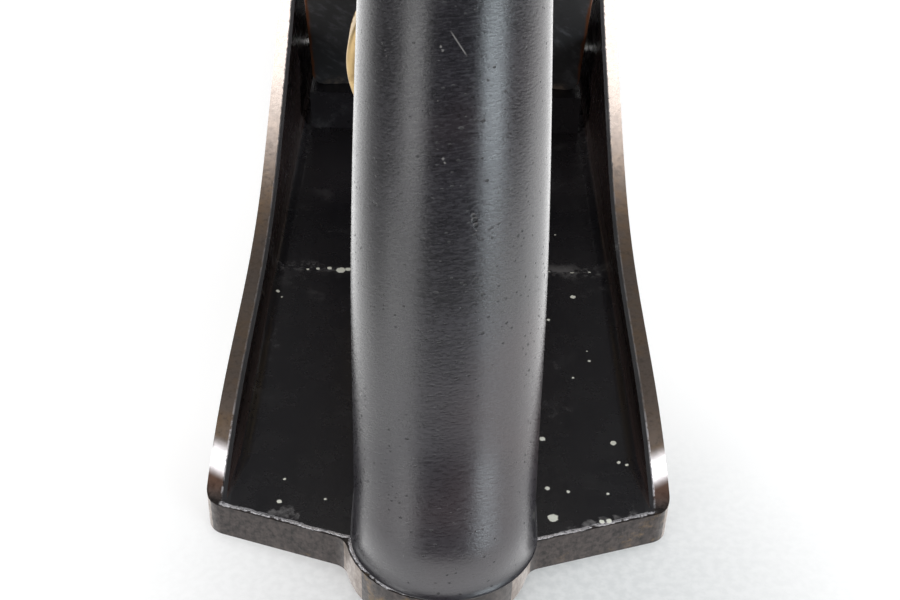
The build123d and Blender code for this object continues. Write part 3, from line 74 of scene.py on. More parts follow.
# ---- shader maths
class Wire:
    """A number in a shader. Its operators add Math nodes to the tree."""

    def __init__(self, tree: "Tree", link: Any) -> None:
        """Keep the tree and the socket, or the plain number, that gives the value."""
        self.tree = tree
        self.link = link

    def _math(self, operation: str, *others: "Wire | float") -> "Wire":
        """Add one Math node.

        Args:
            operation: Blender's name of the operation.
            others: The further operands.

        Returns:
            The node's result.
        """
        values = dict(enumerate((self, *others)))
        node = self.tree.node("ShaderNodeMath", {"operation": operation}, values)
        return Wire(self.tree, node.outputs[0])

    def __add__(self, other: "Wire | float") -> "Wire":
        """Sum."""
        return self._math("ADD", other)

    __radd__ = __add__

    def __sub__(self, other: "Wire | float") -> "Wire":
        """Difference."""
        return self._math("SUBTRACT", other)

    def __rsub__(self, other: float) -> "Wire":
        """Difference from a plain number."""
        return Wire(self.tree, other)._math("SUBTRACT", self)

    def __mul__(self, other: "Wire | float") -> "Wire":
        """Product."""
        return self._math("MULTIPLY", other)

    __rmul__ = __mul__

    def __truediv__(self, other: "Wire | float") -> "Wire":
        """Quotient."""
        return self._math("DIVIDE", other)

    def __abs__(self) -> "Wire":
        """Size without sign."""
        return self._math("ABSOLUTE")

    def above(self, level: "Wire | float") -> "Wire":
        """1 where the value is over a level, else 0."""
        return self._math("GREATER_THAN", level)

    def least(self, other: "Wire | float") -> "Wire":
        """The smaller of two values."""
        return self._math("MINIMUM", other)

    def most(self, other: "Wire | float") -> "Wire":
        """The larger of two values."""
        return self._math("MAXIMUM", other)

    def root(self) -> "Wire":
        """Square root."""
        return self._math("SQRT")

    def ramp(self, low: float, high: float, start: float = 0.0, end: float = 1.0) -> "Wire":
        """Pass smoothly from start to end as the value goes from low to high.

        Args:
            low: Value that gives start.
            high: Value that gives end.
            start: Result at low and before.
            end: Result at high and after.

        Returns:
            The eased value.
        """
        node = self.tree.node("ShaderNodeMapRange", {"interpolation_type": "SMOOTHSTEP"},
                              {"Value": self, "From Min": low, "From Max": high,
                               "To Min": start, "To Max": end})
        return Wire(self.tree, node.outputs[0])


class Tree:
    """A node tree under construction, of a material or of the world."""

    def __init__(self, tree: bpy.types.NodeTree) -> None:
        """Take over a tree and empty it."""
        self.tree = tree
        self.tree.nodes.clear()

    def feed(self, socket: bpy.types.NodeSocket, value: Any) -> None:
        """Give an input its value or its link.

        Args:
            socket: The input.
            value: A plain value, an output socket or a Wire.
        """
        source = value.link if isinstance(value, Wire) else value
        if isinstance(source, bpy.types.NodeSocket):
            self.tree.links.new(source, socket)
        elif isinstance(source, tuple) and socket.type == "RGBA":
            socket.default_value = (*source, 1.0)
        else:
            socket.default_value = source

    def node(self, kind: str, settings: dict[str, Any], values: dict[Any, Any]) -> bpy.types.Node:
        """Add one node.

        Args:
            kind: Blender's node type.
            settings: Attributes set before the sockets, such as a Math node's operation.
            values: Socket names or numbers with a value, a socket or a Wire for each.

        Returns:
            The new node.
        """
        new = self.tree.nodes.new(kind)
        for key, value in settings.items():
            setattr(new, key, value)
        for key, value in values.items():
            self.feed(new.inputs[key], value)
        return new

    def split(self, vector: bpy.types.NodeSocket) -> tuple[Wire, Wire, Wire]:
        """X, Y and Z of a vector."""
        parts = self.node("ShaderNodeSeparateXYZ", {}, {0: vector}).outputs
        return tuple(Wire(self, part) for part in parts)


class Shader(Tree):
    """One material under construction, with the patterns that its finish is made of."""

    def __init__(self, name: str) -> None:
        """Start a material that holds only a Principled shader.

        Args:
            name: Name of the material.
        """
        self.material = bpy.data.materials.new(name)
        self.material.use_nodes = True
        super().__init__(self.material.node_tree)
        self.output = self.node("ShaderNodeOutputMaterial", {}, {})
        self.surface = self.node("ShaderNodeBsdfPrincipled", {}, {})
        self.feed(self.output.inputs["Surface"], self.surface.outputs[0])
        self._place: Any = None

    @property
    def place(self) -> Any:
        """Object coordinates.

        Returns:
            The vector socket, in metres, made the first time it is asked for.
        """
        if self._place is None:
            self._place = self.node("ShaderNodeTexCoord", {}, {}).outputs["Object"]
        return self._place

    def axes(self) -> tuple[Wire, Wire, Wire]:
        """X, Y and Z of the surface point, in millimetres."""
        return tuple(part * (1 / MM) for part in self.split(self.place))

    def normal(self) -> tuple[Wire, Wire, Wire]:
        """X, Y and Z of the true normal."""
        return self.split(self.node("ShaderNodeNewGeometry", {}, {}).outputs["True Normal"])

    def stretched(self, scale: Point, turn: Point = (0.0, 0.0, 0.0)) -> Any:
        """Object coordinates turned and then scaled on each axis.

        Args:
            scale: Scale along X, Y and Z.
            turn: Euler angles in radians.

        Returns:
            The vector socket.
        """
        turned = self.node("ShaderNodeMapping", {}, {"Vector": self.place, "Rotation": turn})
        return self.node("ShaderNodeMapping", {}, {"Vector": turned.outputs[0],
                                                   "Scale": scale}).outputs[0]

    def noise(self, scale: float, detail: float = 4.0, rough: float = 0.55,
              vector: Any = None, warp: float = 0.0) -> Wire:
        """Soft noise of 0 to 1.

        Args:
            scale: Features a metre.
            detail: Octaves.
            rough: Share that each octave keeps.
            vector: Coordinates, or None for the object's own.
            warp: Distortion.

        Returns:
            The noise value.
        """
        node = self.node("ShaderNodeTexNoise", {}, {
            "Vector": self.place if vector is None else vector, "Scale": scale, "Detail": detail,
            "Roughness": rough, "Distortion": warp})
        return Wire(self, node.outputs[0])

    def spots(self, scale: float, size: float, share: float, vector: Any = None) -> Wire:
        """Round spots in a share of the cells round many scattered points.

        Args:
            scale: Points a metre.
            size: Radius of a spot, in cell sizes.
            share: Share of the cells that hold one.
            vector: Coordinates, or None for the object's own.

        Returns:
            1 inside a spot, else 0, with a soft edge.
        """
        node = self.node("ShaderNodeTexVoronoi", {}, {
            "Vector": self.place if vector is None else vector, "Scale": scale})
        luck = self.node("ShaderNodeSeparateColor", {}, {0: node.outputs["Color"]}).outputs[0]
        inside = Wire(self, node.outputs["Distance"]).ramp(size * 0.6, size, 1.0, 0.0)
        return inside * (share - Wire(self, luck)).above(0.0)

    def near(self, points: tuple[Point, ...], x: Wire, y: Wire) -> Wire:
        """Gap to the nearest of some round spots, measured along two coordinates.

        Args:
            points: Both coordinates and the radius of each spot, in millimetres.
            x: First coordinate of the surface point, in millimetres.
            y: Second coordinate of the surface point, in millimetres.

        Returns:
            The gap in millimetres, below 0 inside a spot.
        """
        flat = self.node("ShaderNodeCombineXYZ", {}, {0: x, 1: y}).outputs[0]
        nearest = None
        for across, along, radius in points:
            way = self.node("ShaderNodeVectorMath", {"operation": "DISTANCE"},
                            {0: flat, 1: (across, along, 0.0)})
            gap = Wire(self, way.outputs["Value"]) - radius
            nearest = gap if nearest is None else nearest.least(gap)
        return nearest

    def scratch(self, ends: tuple[float, float, float, float], x: Wire, y: Wire) -> Wire:
        """Thin straight scratch that fades out at both ends.

        Args:
            ends: X and Y of its start, then of its end, in millimetres.
            x: First coordinate of the surface point, in millimetres.
            y: Second coordinate of the surface point, in millimetres.

        Returns:
            1 on the scratch, 0 off it.
        """
        x0, y0, x1, y1 = ends
        length = math.hypot(x1 - x0, y1 - y0)
        run, rise = (x1 - x0) / length, (y1 - y0) / length
        along = (x - x0) * run + (y - y0) * rise
        across = abs((x - x0) * rise - (y - y0) * run)
        ends_fade = along.ramp(0.0, 0.8) * along.ramp(length - 0.8, length, 1.0, 0.0)
        return across.ramp(0.03, 0.1, 1.0, 0.0) * ends_fade

    def mix(self, share: "Wire | float", first: Any, second: Any) -> Any:
        """Blend two colours.

        Args:
            share: 0 gives the first and 1 the second.
            first: Colour or colour socket.
            second: Colour or colour socket.

        Returns:
            The colour socket.
        """
        return self.node("ShaderNodeMix", {"data_type": "RGBA"},
                         {0: share, 6: first, 7: second}).outputs[2]

    def bump(self, height: Wire, depth: float, strength: float = 1.0, under: Any = None) -> Any:
        """Bump from a height field.

        Args:
            height: Height, 0 to 1.
            depth: What a height of 1 stands for, in metres.
            strength: Share of the effect.
            under: Normal that this one adds to, if any.

        Returns:
            The normal socket.
        """
        values = {"Height": height, "Distance": depth, "Strength": strength}
        if under is not None:
            values["Normal"] = under
        return self.node("ShaderNodeBump", {}, values).outputs[0]

    def finish(self, colour: Any, rough: Any, metal: Any = 0.0, normal: Any = None,
               settings: dict[str, float] | None = None) -> bpy.types.Material:
        """Connect the Principled shader and give the material.

        Args:
            colour: Base colour or its socket.
            rough: Roughness or its Wire.
            metal: Metallic or its Wire.
            normal: Normal socket, if any.
            settings: Plain numbers for other sockets.

        Returns:
            The finished material.
        """
        values: dict[str, Any] = {"Base Color": colour, "Roughness": rough, "Metallic": metal}
        if normal is not None:
            values["Normal"] = normal
        for key, value in (values | (settings or {})).items():
            self.feed(self.surface.inputs[key], value)
        return self.material


# ---- measures
@dataclass(frozen=True)
class Casting:
    """Sizes of the cast body that its finish follows, in millimetres."""

    half_width: float
    heel: float
    toe: float
    corner: float
    heel_run: float = 16.4
    tongue: float = 12.1
    slope: float = 6.2 / 18.9
    wall: float = 2.8
    lap: float = 0.65
    fillet: float = 2.5
    floor: float = 5.2
    step: float = 0.8
    step_run: float = 55.6
    toe_bow: float = 8.0

    @classmethod
    def from_frame(cls) -> "Casting":
        """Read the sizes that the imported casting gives.

        Returns:
            The sizes.
        """
        low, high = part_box("plane_body")
        return cls(half_width=high.x / MM, heel=low.y / MM, toe=high.y / MM,
                   corner=low.y / MM + cls.heel_run)

    def end_light(self, x: Wire, y: Wire) -> Wire:
        """Share of painted highlight on the bend where a wall comes down at the heel.

        Args:
            x: X of the surface point, in millimetres.
            y: Y of the surface point, in millimetres.

        Returns:
            0 to 1.
        """
        along = y - self.corner + (self.half_width - abs(x)) * 0.5
        return along.ramp(3.8, 6.4) * along.ramp(7.4, 10.6, 1.0, 0.0)

    def heel_gap(self, x: Wire, y: Wire) -> Wire:
        """Distance inside the heel's edge: sloping shoulders and a round tongue.

        Args:
            x: X of the surface point, in millimetres.
            y: Y of the surface point, in millimetres.

        Returns:
            The distance in millimetres, below 0 outside the edge.
        """
        shoulder = (y - self.corner + (self.half_width - abs(x)) * self.slope) * 0.95
        ahead = y - (self.heel + self.tongue)
        tongue = self.tongue - (x * x + ahead * ahead).root()
        behind = (self.corner - self.slope * (self.half_width - self.tongue) - y).above(0.0)
        return shoulder * (1.0 - behind) + tongue * behind


# ---- finishes
@dataclass(frozen=True)
class DarkWood:
    """Near-black polished hardwood: fine cross grain, tiny pores and rubbed patches, with a foot
    that is paler, partly from wear and partly painted light.
    """

    name: str = "dark_wood"
    dark: Colour = srgb(15, 14, 18)
    pale: Colour = srgb(44, 42, 47)
    warm: Colour = srgb(58, 34, 30)
    worn_and_lit: Colour = srgb(52, 50, 55)
    speck: Colour = srgb(170, 166, 162)
    pit: Colour = (0.003, 0.003, 0.003)
    grain_turn: float = 0.42
    rough: float = 0.26
    back: float = -90.0
    dents: tuple[Point, ...] = ((3.1, 50.7, 0.14), (3.25, 50.2, 0.24), (3.4, 49.6, 0.18))
    nicks: tuple[Point, ...] = ((-1.0, 68.7, 0.1), (-0.8, 68.3, 0.08), (-0.5, 56.9, 0.1),
                                (-0.35, 56.5, 0.08), (3.5, 49.0, 0.08))
    scar: tuple[float, float, float, float] = (-0.1, 70.5, 2.0, 67.6)

    def build(self) -> bpy.types.Material:
        """Make the material.

        Returns:
            The material.
        """
        s = Shader(self.name)
        turn = (self.grain_turn, 0.14, 0.0)
        lines = s.stretched((0.24, 0.45, 1.0), turn)
        grain = s.noise(4200.0, 4.0, 0.6, lines, 0.3)
        fleck = s.noise(2600.0, 3.0, 0.65)
        bands = s.noise(240.0, 4.0, 0.6, s.stretched((0.25, 0.5, 1.0), turn))
        drift = s.noise(26.0, 3.0)
        crowd = s.noise(90.0, 3.0, 0.6).ramp(0.44, 0.56)
        flat = s.stretched((0.6, 1.0, 1.0), turn)
        pores = s.spots(1350.0, 0.19, 0.5, flat).most(s.spots(620.0, 0.13, 0.35, flat)) * crowd
        shade = (grain - 0.5) * 0.9 + (fleck - 0.5) * 0.8 + (bands - 0.5) * 0.5 + drift
        colour = s.mix(shade.ramp(0.1, 0.9), self.dark, self.pale)
        x, y, z = s.axes()
        low = z.ramp(8.0, 46.0, 1.0, 0.0)
        behind = (self.back - y).above(0.0)
        dent = (0.0 - s.near(self.dents, x, z)).ramp(-0.16, 0.04) * behind
        nick = ((fleck - 0.5) * 0.6 - s.near(self.nicks, x, z)).ramp(-0.04, 0.04) * behind
        scar = nick.most(s.scratch(self.scar, x, z) * behind)
        # Paler towards the foot: partly wear, partly painted light where the upturned foot catches
        # more light.
        colour = s.mix(low * 0.3, colour, self.worn_and_lit)
        colour = s.mix(drift.ramp(0.52, 0.8) * 0.4, colour, self.warm)
        colour = s.mix(pores.most(dent) * 0.85, colour, self.pit)
        dust = s.spots(700.0, 0.07, 0.2) * s.noise(60.0).ramp(0.45, 0.6)
        scratch_way = s.stretched((1.0, 0.4, 0.035), (0.0, 0.5, 0.0))
        scratches = s.spots(520.0, 0.045, 0.06, scratch_way)
        colour = s.mix(dust.most(scratches).most(scar) * 0.45, colour, self.speck)
        rough = self.rough + (grain - 0.5) * 0.35 + (bands - 0.5) * 0.12 + pores * 0.3 + low * 0.05
        height = grain * 0.6 + fleck * 0.5
        normal = s.bump(height, 0.00006, 0.7)
        normal = s.bump(1.0 - pores.most(dent), 0.00012, 0.7, normal)
        return s.finish(colour, rough, 0.0, normal)


@dataclass(frozen=True)
class Japan:
    """Black japan inside the casting, bare brown iron outside it and on its wall tops."""

    name: str
    casting: Casting
    japan: Colour = srgb(17, 16, 20)
    dust: Colour = srgb(112, 110, 110)
    thin: Colour = srgb(84, 62, 54)
    brown: Colour = srgb(87, 77, 70)
    rust: Colour = srgb(96, 78, 60)
    ochre: Colour = srgb(110, 88, 56)
    burnish_and_highlight: Colour = srgb(166, 155, 148)
    end_highlight: Colour = srgb(226, 224, 228)
    cheek: Colour = srgb(112, 103, 96)
    silver: Colour = srgb(214, 212, 216)
    cream: Colour = srgb(222, 222, 210)
    soot: Colour = srgb(58, 50, 46)
    face_pale: Colour = srgb(56, 50, 48)
    face_dark: Colour = srgb(22, 20, 20)
    heel_brown: Colour = srgb(56, 36, 27)
    rubbed: Colour = srgb(66, 61, 63)
    flecks: tuple[Point, ...] = (
        (14.6, -92.6, 0.42), (24.5, -93.2, 0.45), (24.9, -97.2, 0.28), (26.0, -97.6, 0.28),
        (14.7, -102.6, 0.35), (17.5, -103.2, 0.22), (22.9, -103.4, 0.22), (15.2, -108.2, 0.7),
        (22.6, -108.6, 0.4), (21.6, -108.7, 0.35), (22.5, -74.6, 0.22), (19.8, -78.8, 0.2),
        (22.4, -72.2, 0.16), (21.2, -58.0, 0.42), (16.9, -64.4, 0.22), (19.5, -38.5, 0.2),
        (-21.1, -106.2, 0.34), (-15.1, -105.6, 0.2), (-20.9, -101.9, 0.16), (-26.5, -58.4, 0.3),
        (-25.7, -59.8, 0.18), (-16.8, -51.9, 0.75), (-15.6, -51.6, 0.5), (-18.7, -51.3, 0.4),
        (-20.6, -51.6, 0.35), (-22.2, -51.8, 0.25), (17.8, -49.9, 0.3), (19.6, -50.4, 0.35),
        (21.5, -50.9, 0.35), (23.4, -50.5, 0.3), (24.6, -49.8, 0.25),
    )
    chips: tuple[Point, ...] = (
        (-21.8, -108.3, 0.8), (-20.3, -108.2, 1.3), (-18.9, -109.0, 0.7), (25.8, -107.5, 0.7),
        (24.0, -108.0, 1.0), (22.0, -108.6, 1.0), (19.9, -109.3, 0.8), (17.6, -110.2, 0.6),
    )

    def build(self) -> bpy.types.Material:
        """Make the material.

        Returns:
            The material.
        """
        c = self.casting
        s = Shader(self.name)
        x, y, z = s.axes()
        nz = s.normal()[2]
        side, gap = abs(x), c.heel_gap(x, y)
        grit = s.noise(1300.0, 4.0, 0.7) - 0.5
        lumps = s.noise(330.0, 5.0, 0.7) - 0.5
        above_floor = (z - (c.floor - c.step - 0.3)).above(0.0)
        edge = c.half_width - c.wall + c.lap
        toe_face = (y - (c.toe - c.toe_bow - 1.0)).above(0.0) * (0.5 - nz).above(0.0)
        painted = (grit * 0.5 + edge - side).ramp(-0.15, 0.15) * above_floor * (1.0 - toe_face)
        painted = painted * (gap + grit * 0.8 + lumps * 1.4).ramp(0.35, 0.45)
        colour = s.mix(painted, self._iron(s, x, y, grit), self._black(s, x, y, grit))
        inside = (edge + 0.4 - side).ramp(0.0, 0.5) * above_floor
        # Silver line along the heel rim: worn bare iron, with a painted highlight on its edge.
        worn_and_lit = (1.0 - abs(gap - 0.5 + lumps * 1.2) / 0.34).ramp(0.0, 0.5) * inside
        worn_and_lit = worn_and_lit * (lumps + grit).ramp(-0.2, 0.05) * (nz - 0.3).above(0.0)
        # Lip: a painted highlight along the inner edge of the wall tops, partly a chipped edge,
        # strongest near the heel.
        lip = (1.0 - abs(side - edge - 0.05) / 0.2).ramp(0.0, 0.8) * (nz - 0.3).above(0.0)
        lip = lip * (y - c.corner).ramp(0.0, 2.0) * y.ramp(-98.0, -88.0, 0.6, 0.12)
        lip = lip * (grit + lumps).ramp(-0.15, 0.1)
        bright = worn_and_lit.most(lip)
        colour = s.mix(bright, colour, self.silver)
        fleck = (grit * 0.7 - s.near(self.flecks, x, y)).ramp(-0.04, 0.06) * above_floor * painted
        colour = s.mix(fleck, colour, self.cream)
        end = c.end_light(x, y)
        bare_rough = 0.46 - y.ramp(-50.0, -15.0).most(end) * 0.2 + grit * 0.3
        japan_rough = s.noise(140.0, 5.0, 0.7) * 0.2 + 0.17
        rim = (side - edge + 1.2).above(0.0) * (nz - 0.3).above(0.0) * 0.45
        rough = bare_rough * (1.0 - painted) + (japan_rough + rim) * painted + fleck * 0.4
        metal = ((1.0 - painted) * 0.8).most(bright) * (1.0 - fleck)
        height = grit * 0.6 + painted + fleck * 0.8
        normal = s.bump(height, 0.00008, 0.6)
        return s.finish(colour, rough, metal, normal)

    def _iron(self, s: Shader, x: Wire, y: Wire, grit: Wire) -> Any:
        """Colour of the bare iron.

        Args:
            s: Shader of the casting.
            x: X of the surface point, in millimetres.
            y: Y of the surface point, in millimetres.
            grit: Fine noise round 0.

        Returns:
            The colour socket.
        """
        patina = s.noise(170.0, 6.0, 0.68)
        streaks = s.noise(1500.0, 4.0, 0.65, s.stretched((1.0, 1.0, 0.22)))
        nx, _, nz = s.normal()
        upright = (0.5 - nz).above(0.0)
        cheek = (abs(nx) - 0.8).above(0.0)
        # Wall tops turn paler towards the front: burnished iron, and partly a painted highlight of
        # the overhead light.
        lift = (y + (patina - 0.5) * 10.0).ramp(-42.0, -10.0)
        top = s.mix(patina.ramp(0.4, 0.72), self.brown, self.rust)
        top = s.mix((grit + 0.5).ramp(0.45, 0.75) * 0.6, top, self.soot)
        top = s.mix(lift, top, self.burnish_and_highlight)
        mottle = streaks * 0.5 + grit * 0.9 + 0.25
        face = s.mix(mottle.ramp(0.25, 0.75), self.face_pale, self.face_dark)
        face = s.mix(patina.ramp(0.58, 0.7) * 0.45, face, self.ochre)
        sides = s.mix(mottle.ramp(0.3, 0.7), self.cheek, self.brown)
        sides = s.mix(patina.ramp(0.5, 0.72) * 0.6, sides, self.rust)
        face = s.mix(cheek, face, sides)
        top = s.mix(y.ramp(-102.5, -99.5, 0.85, 0.0), top, self.heel_brown)
        face = s.mix(upright.most(y.ramp(-106.5, -103.5, 1.0, 0.0)), top, face)
        # Painted highlight on the bend where each wall comes down at the heel.
        return s.mix(self.casting.end_light(x, y) * (1.0 - upright) * 0.75, face, self.end_highlight)

    def _black(self, s: Shader, x: Wire, y: Wire, grit: Wire) -> Any:
        """Colour of the japan with its dust.

        Args:
            s: Shader of the casting.
            x: X of the surface point, in millimetres.
            y: Y of the surface point, in millimetres.
            grit: Fine noise round 0.

        Returns:
            The colour socket.
        """
        c = self.casting
        clouds = s.noise(110.0, 6.0, 0.7)
        brushed = s.noise(240.0, 3.0, 0.6, s.stretched((1.0, 0.12, 1.0)))
        step = abs(y - (c.corner + c.step_run + 0.6))
        ledge = step.ramp(0.4, 3.0, 1.0, 0.0) * (clouds + grit * 0.8).ramp(0.48, 0.66)
        chipped = ((clouds - 0.5) * 3.0 + grit * 1.6 - s.near(self.chips, x, y)).ramp(-0.2, 0.2)
        front = y.ramp(-34.0, -20.0)
        # The japan turns paler towards the frog, as well as along the brushed streaks.
        share = (brushed - 0.35) * 0.2 + y.ramp(-112.0, -80.0, -0.03, 0.03) + front * 0.25
        colour = s.mix(share.most(0.0), self.japan, self.rubbed)
        colour = s.mix(clouds.ramp(0.56, 0.74) * 0.3, colour, self.dust)
        broken = (clouds + grit * 1.2).ramp(0.3, 0.75, 0.15, 0.75)
        colour = s.mix((abs(s.normal()[0]) - 0.7).above(0.0) * 0.3, colour, self.thin)
        return s.mix((ledge * 0.55).most(chipped * broken), colour, self.dust)


@dataclass(frozen=True)
class FrogBlack:
    """Thin mottled black over a cast surface, rubbed to orange brown along its sides."""

    half_width: float
    name: str = "japanned_frog"
    black: Colour = srgb(56, 55, 56)
    mottle: Colour = srgb(104, 104, 108)
    brown: Colour = srgb(126, 74, 42)
    pale: Colour = srgb(150, 132, 118)

    def build(self) -> bpy.types.Material:
        """Make the material.

        Returns:
            The material.
        """
        s = Shader(self.name)
        x, _, z = s.axes()
        side = abs(x)
        lumps = s.noise(300.0, 5.0, 0.7) - 0.5
        grain = s.noise(520.0, 5.0, 0.7, s.stretched((1.0, 1.0, 0.35), (0.0, 0.7, 0.0)))
        colour = s.mix(grain.ramp(0.48, 0.7) * 0.55, self.black, self.mottle)
        nx = s.normal()[0]
        edge = (0.97 - abs(nx)).above(0.0)
        rubbed = (side - self.half_width + 0.75 + lumps * 1.2).ramp(0.0, 0.5) * edge
        colour = s.mix(rubbed * 0.8, colour, self.brown)
        low = (14.5 - z + lumps * 2.0).ramp(0.0, 2.0)
        colour = s.mix((low * lumps.ramp(-0.05, 0.15)) * 0.45, colour, self.pale)
        rough = 0.42 + grain * 0.2 - rubbed * 0.1
        normal = s.bump(grain * 0.5 + lumps + 0.5, 0.00012, 0.6)
        return s.finish(colour, rough, rubbed * 0.5, normal)


@dataclass(frozen=True)
class PlainMetal:
    """A bare or plated metal with patina, fine scratches and dull patches."""

    name: str
    bright: Colour
    stain: Colour
    rough: float = 0.3
    stained: float = 0.5
    scratch: Point = (1.0, 1.0, 0.1)
    metal: float = 1.0

    def build(self) -> bpy.types.Material:
        """Make the material.

        Returns:
            The material.
        """
        s = Shader(self.name)
        patina = s.noise(95.0, 6.0, 0.65)
        spots = s.noise(520.0, 4.0, 0.7).ramp(0.58, 0.7)
        scratches = s.noise(1400.0, 2.0, 0.6, s.stretched(self.scratch))
        amount = patina.ramp(0.62 - 0.35 * self.stained, 0.8) * self.stained + spots * 0.25
        colour = s.mix(amount.least(1.0), self.bright, self.stain)
        rough = self.rough + amount * 0.3 + (scratches - 0.5) * 0.12
        normal = s.bump(scratches * 0.5 + spots * 0.5, 0.00003, 0.5)
        return s.finish(colour, rough, self.metal, normal)


class Metal(Enum):
    """Named finishes of the plain metal pieces."""

    TOOL_STEEL = PlainMetal("tool_steel", srgb(158, 154, 148), srgb(88, 66, 50), 0.26, 0.6,
                            (0.12, 1.0, 1.0))
    CAP_STEEL = PlainMetal("cap_steel", srgb(122, 120, 118), srgb(70, 55, 46), 0.30, 0.6,
                           (0.12, 1.0, 1.0))
    NICKEL = PlainMetal("old_nickel", srgb(188, 183, 175), srgb(126, 114, 98), 0.24, 0.3)
    SCREW = PlainMetal("screw_steel", srgb(120, 113, 104), srgb(74, 50, 36), 0.36, 0.7)
    SPRING = PlainMetal("spring_steel", srgb(78, 82, 96), srgb(50, 42, 40), 0.3, 0.4)
    BRASS = PlainMetal("aged_brass", srgb(158, 136, 98), srgb(112, 90, 60), 0.42, 0.4,
                       (1.0, 0.1, 1.0))


@lru_cache(maxsize=None)
def metal(finish: Metal) -> bpy.types.Material:
    """Make a plain metal's material the first time, and give the same one after that."""
    return finish.value.build()


# ---- mesh helpers
def link_piece(name: str, mesh: bmesh.types.BMesh, smooth: bool = True) -> bpy.types.Object:
    """Turn a bmesh into an object at the origin.

    Args:
        name: Name of the piece.
        mesh: Its finished bmesh, which is freed.
        smooth: Whether its faces are shaded smooth.

    Returns:
        The new object.
    """
    data = bpy.data.meshes.new(name)
    bmesh.ops.recalc_face_normals(mesh, faces=mesh.faces)
    mesh.to_mesh(data)
    mesh.free()
    for face in data.polygons:
        face.use_smooth = smooth
    piece = bpy.data.objects.new(name, data)
    bpy.context.scene.collection.objects.link(piece)
    return piece


def dress(piece: bpy.types.Object, material: bpy.types.Material) -> None:
    """Give a piece one material and report it.

    Args:
        piece: The piece.
        material: Its material.
    """
    piece.data.materials.clear()
    piece.data.materials.append(material)
    LOG.info("%s has %s", piece.name, material.name)


def dress_nodes(finish: Metal, *nodes: str) -> None:
    """Give CAD nodes one of the plain metal finishes.

    Args:
        finish: The finish.
        nodes: Names of the nodes.
    """
    for node in nodes:
        dress(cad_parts[node], metal(finish))


def declare(piece: bpy.types.Object, body: str, slot: str, *nodes: str) -> None:
    """Parent a new piece to the empty of its body and hide the CAD nodes that it stands for.

    Args:
        piece: The new piece.
        body: Body that it rides on.
        slot: Not used.
        nodes: CAD nodes that it stands for.
    """
    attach(piece, body)
    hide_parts(*nodes)


def merged_copy(node: str) -> bmesh.types.BMesh:
    """Copy a CAD node's mesh with its doubles merged and its flat faces whole.

    Args:
        node: Name of the CAD node.

    Returns:
        The new bmesh.
    """
    mesh = bmesh.new()
    mesh.from_mesh(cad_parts[node].data)
    bmesh.ops.remove_doubles(mesh, verts=mesh.verts, dist=1e-6)
    bmesh.ops.dissolve_limit(mesh, angle_limit=math.radians(0.5), verts=mesh.verts,
                             edges=mesh.edges)
    return mesh


def round_edges(piece: bpy.types.Object, width: float, angle: float = 30.0) -> None:
    """Round the sharp edges of a piece.

    Args:
        piece: The object.
        width: Width of the rounded edges, in millimetres.
        angle: Edges sharper than this are rounded, in degrees.
    """
    bevel = piece.modifiers.new("edges", "BEVEL")
    bevel.width = width * MM
    bevel.segments = 2
    bevel.limit_method = "ANGLE"
    bevel.angle_limit = math.radians(angle)
    bevel.use_clamp_overlap = True
    smooth = piece.modifiers.new("normals", "WEIGHTED_NORMAL")
    smooth.keep_sharp = True


def turned(profile: list[tuple[float, float]], centre: Vector, axis: Vector, steps: int,
           start: Vector) -> bmesh.types.BMesh:
    """Spin a closed profile round an axis.

    Args:
        profile: Radius and place along the axis of each corner, in millimetres.
        centre: Point of the axis that the places count from, in metres.
        axis: Direction of the axis.
        steps: Faces round the turn.
        start: Direction of the profile's plane, square to the axis.

    Returns:
        The closed bmesh.
    """
    mesh = bmesh.new()
    verts = [mesh.verts.new(centre + start * (radius * MM) + axis * (along * MM))
             for radius, along in profile]
    edges = [mesh.edges.new((a, b)) for a, b in zip(verts, verts[1:] + verts[:1])]
    bmesh.ops.spin(mesh, geom=verts + edges, cent=centre, axis=axis, dvec=(0, 0, 0),
                   angle=math.tau, steps=steps, use_merge=True, use_normal_flip=False,
                   use_duplicate=False)
    bmesh.ops.remove_doubles(mesh, verts=mesh.verts, dist=1e-7)
    return mesh


def lasting_creases(piece: bpy.types.Object, angle: float = 35.0) -> None:
    """Mark edges sharper than an angle so that smooth shading keeps them.

    Args:
        piece: The object.
        angle: The angle in degrees.
    """
    mesh = bmesh.new()
    mesh.from_mesh(piece.data)
    for edge in mesh.edges:
        if len(edge.link_faces) == 2:
            edge.smooth = edge.calc_face_angle() < math.radians(angle)
    mesh.to_mesh(piece.data)
    mesh.free()


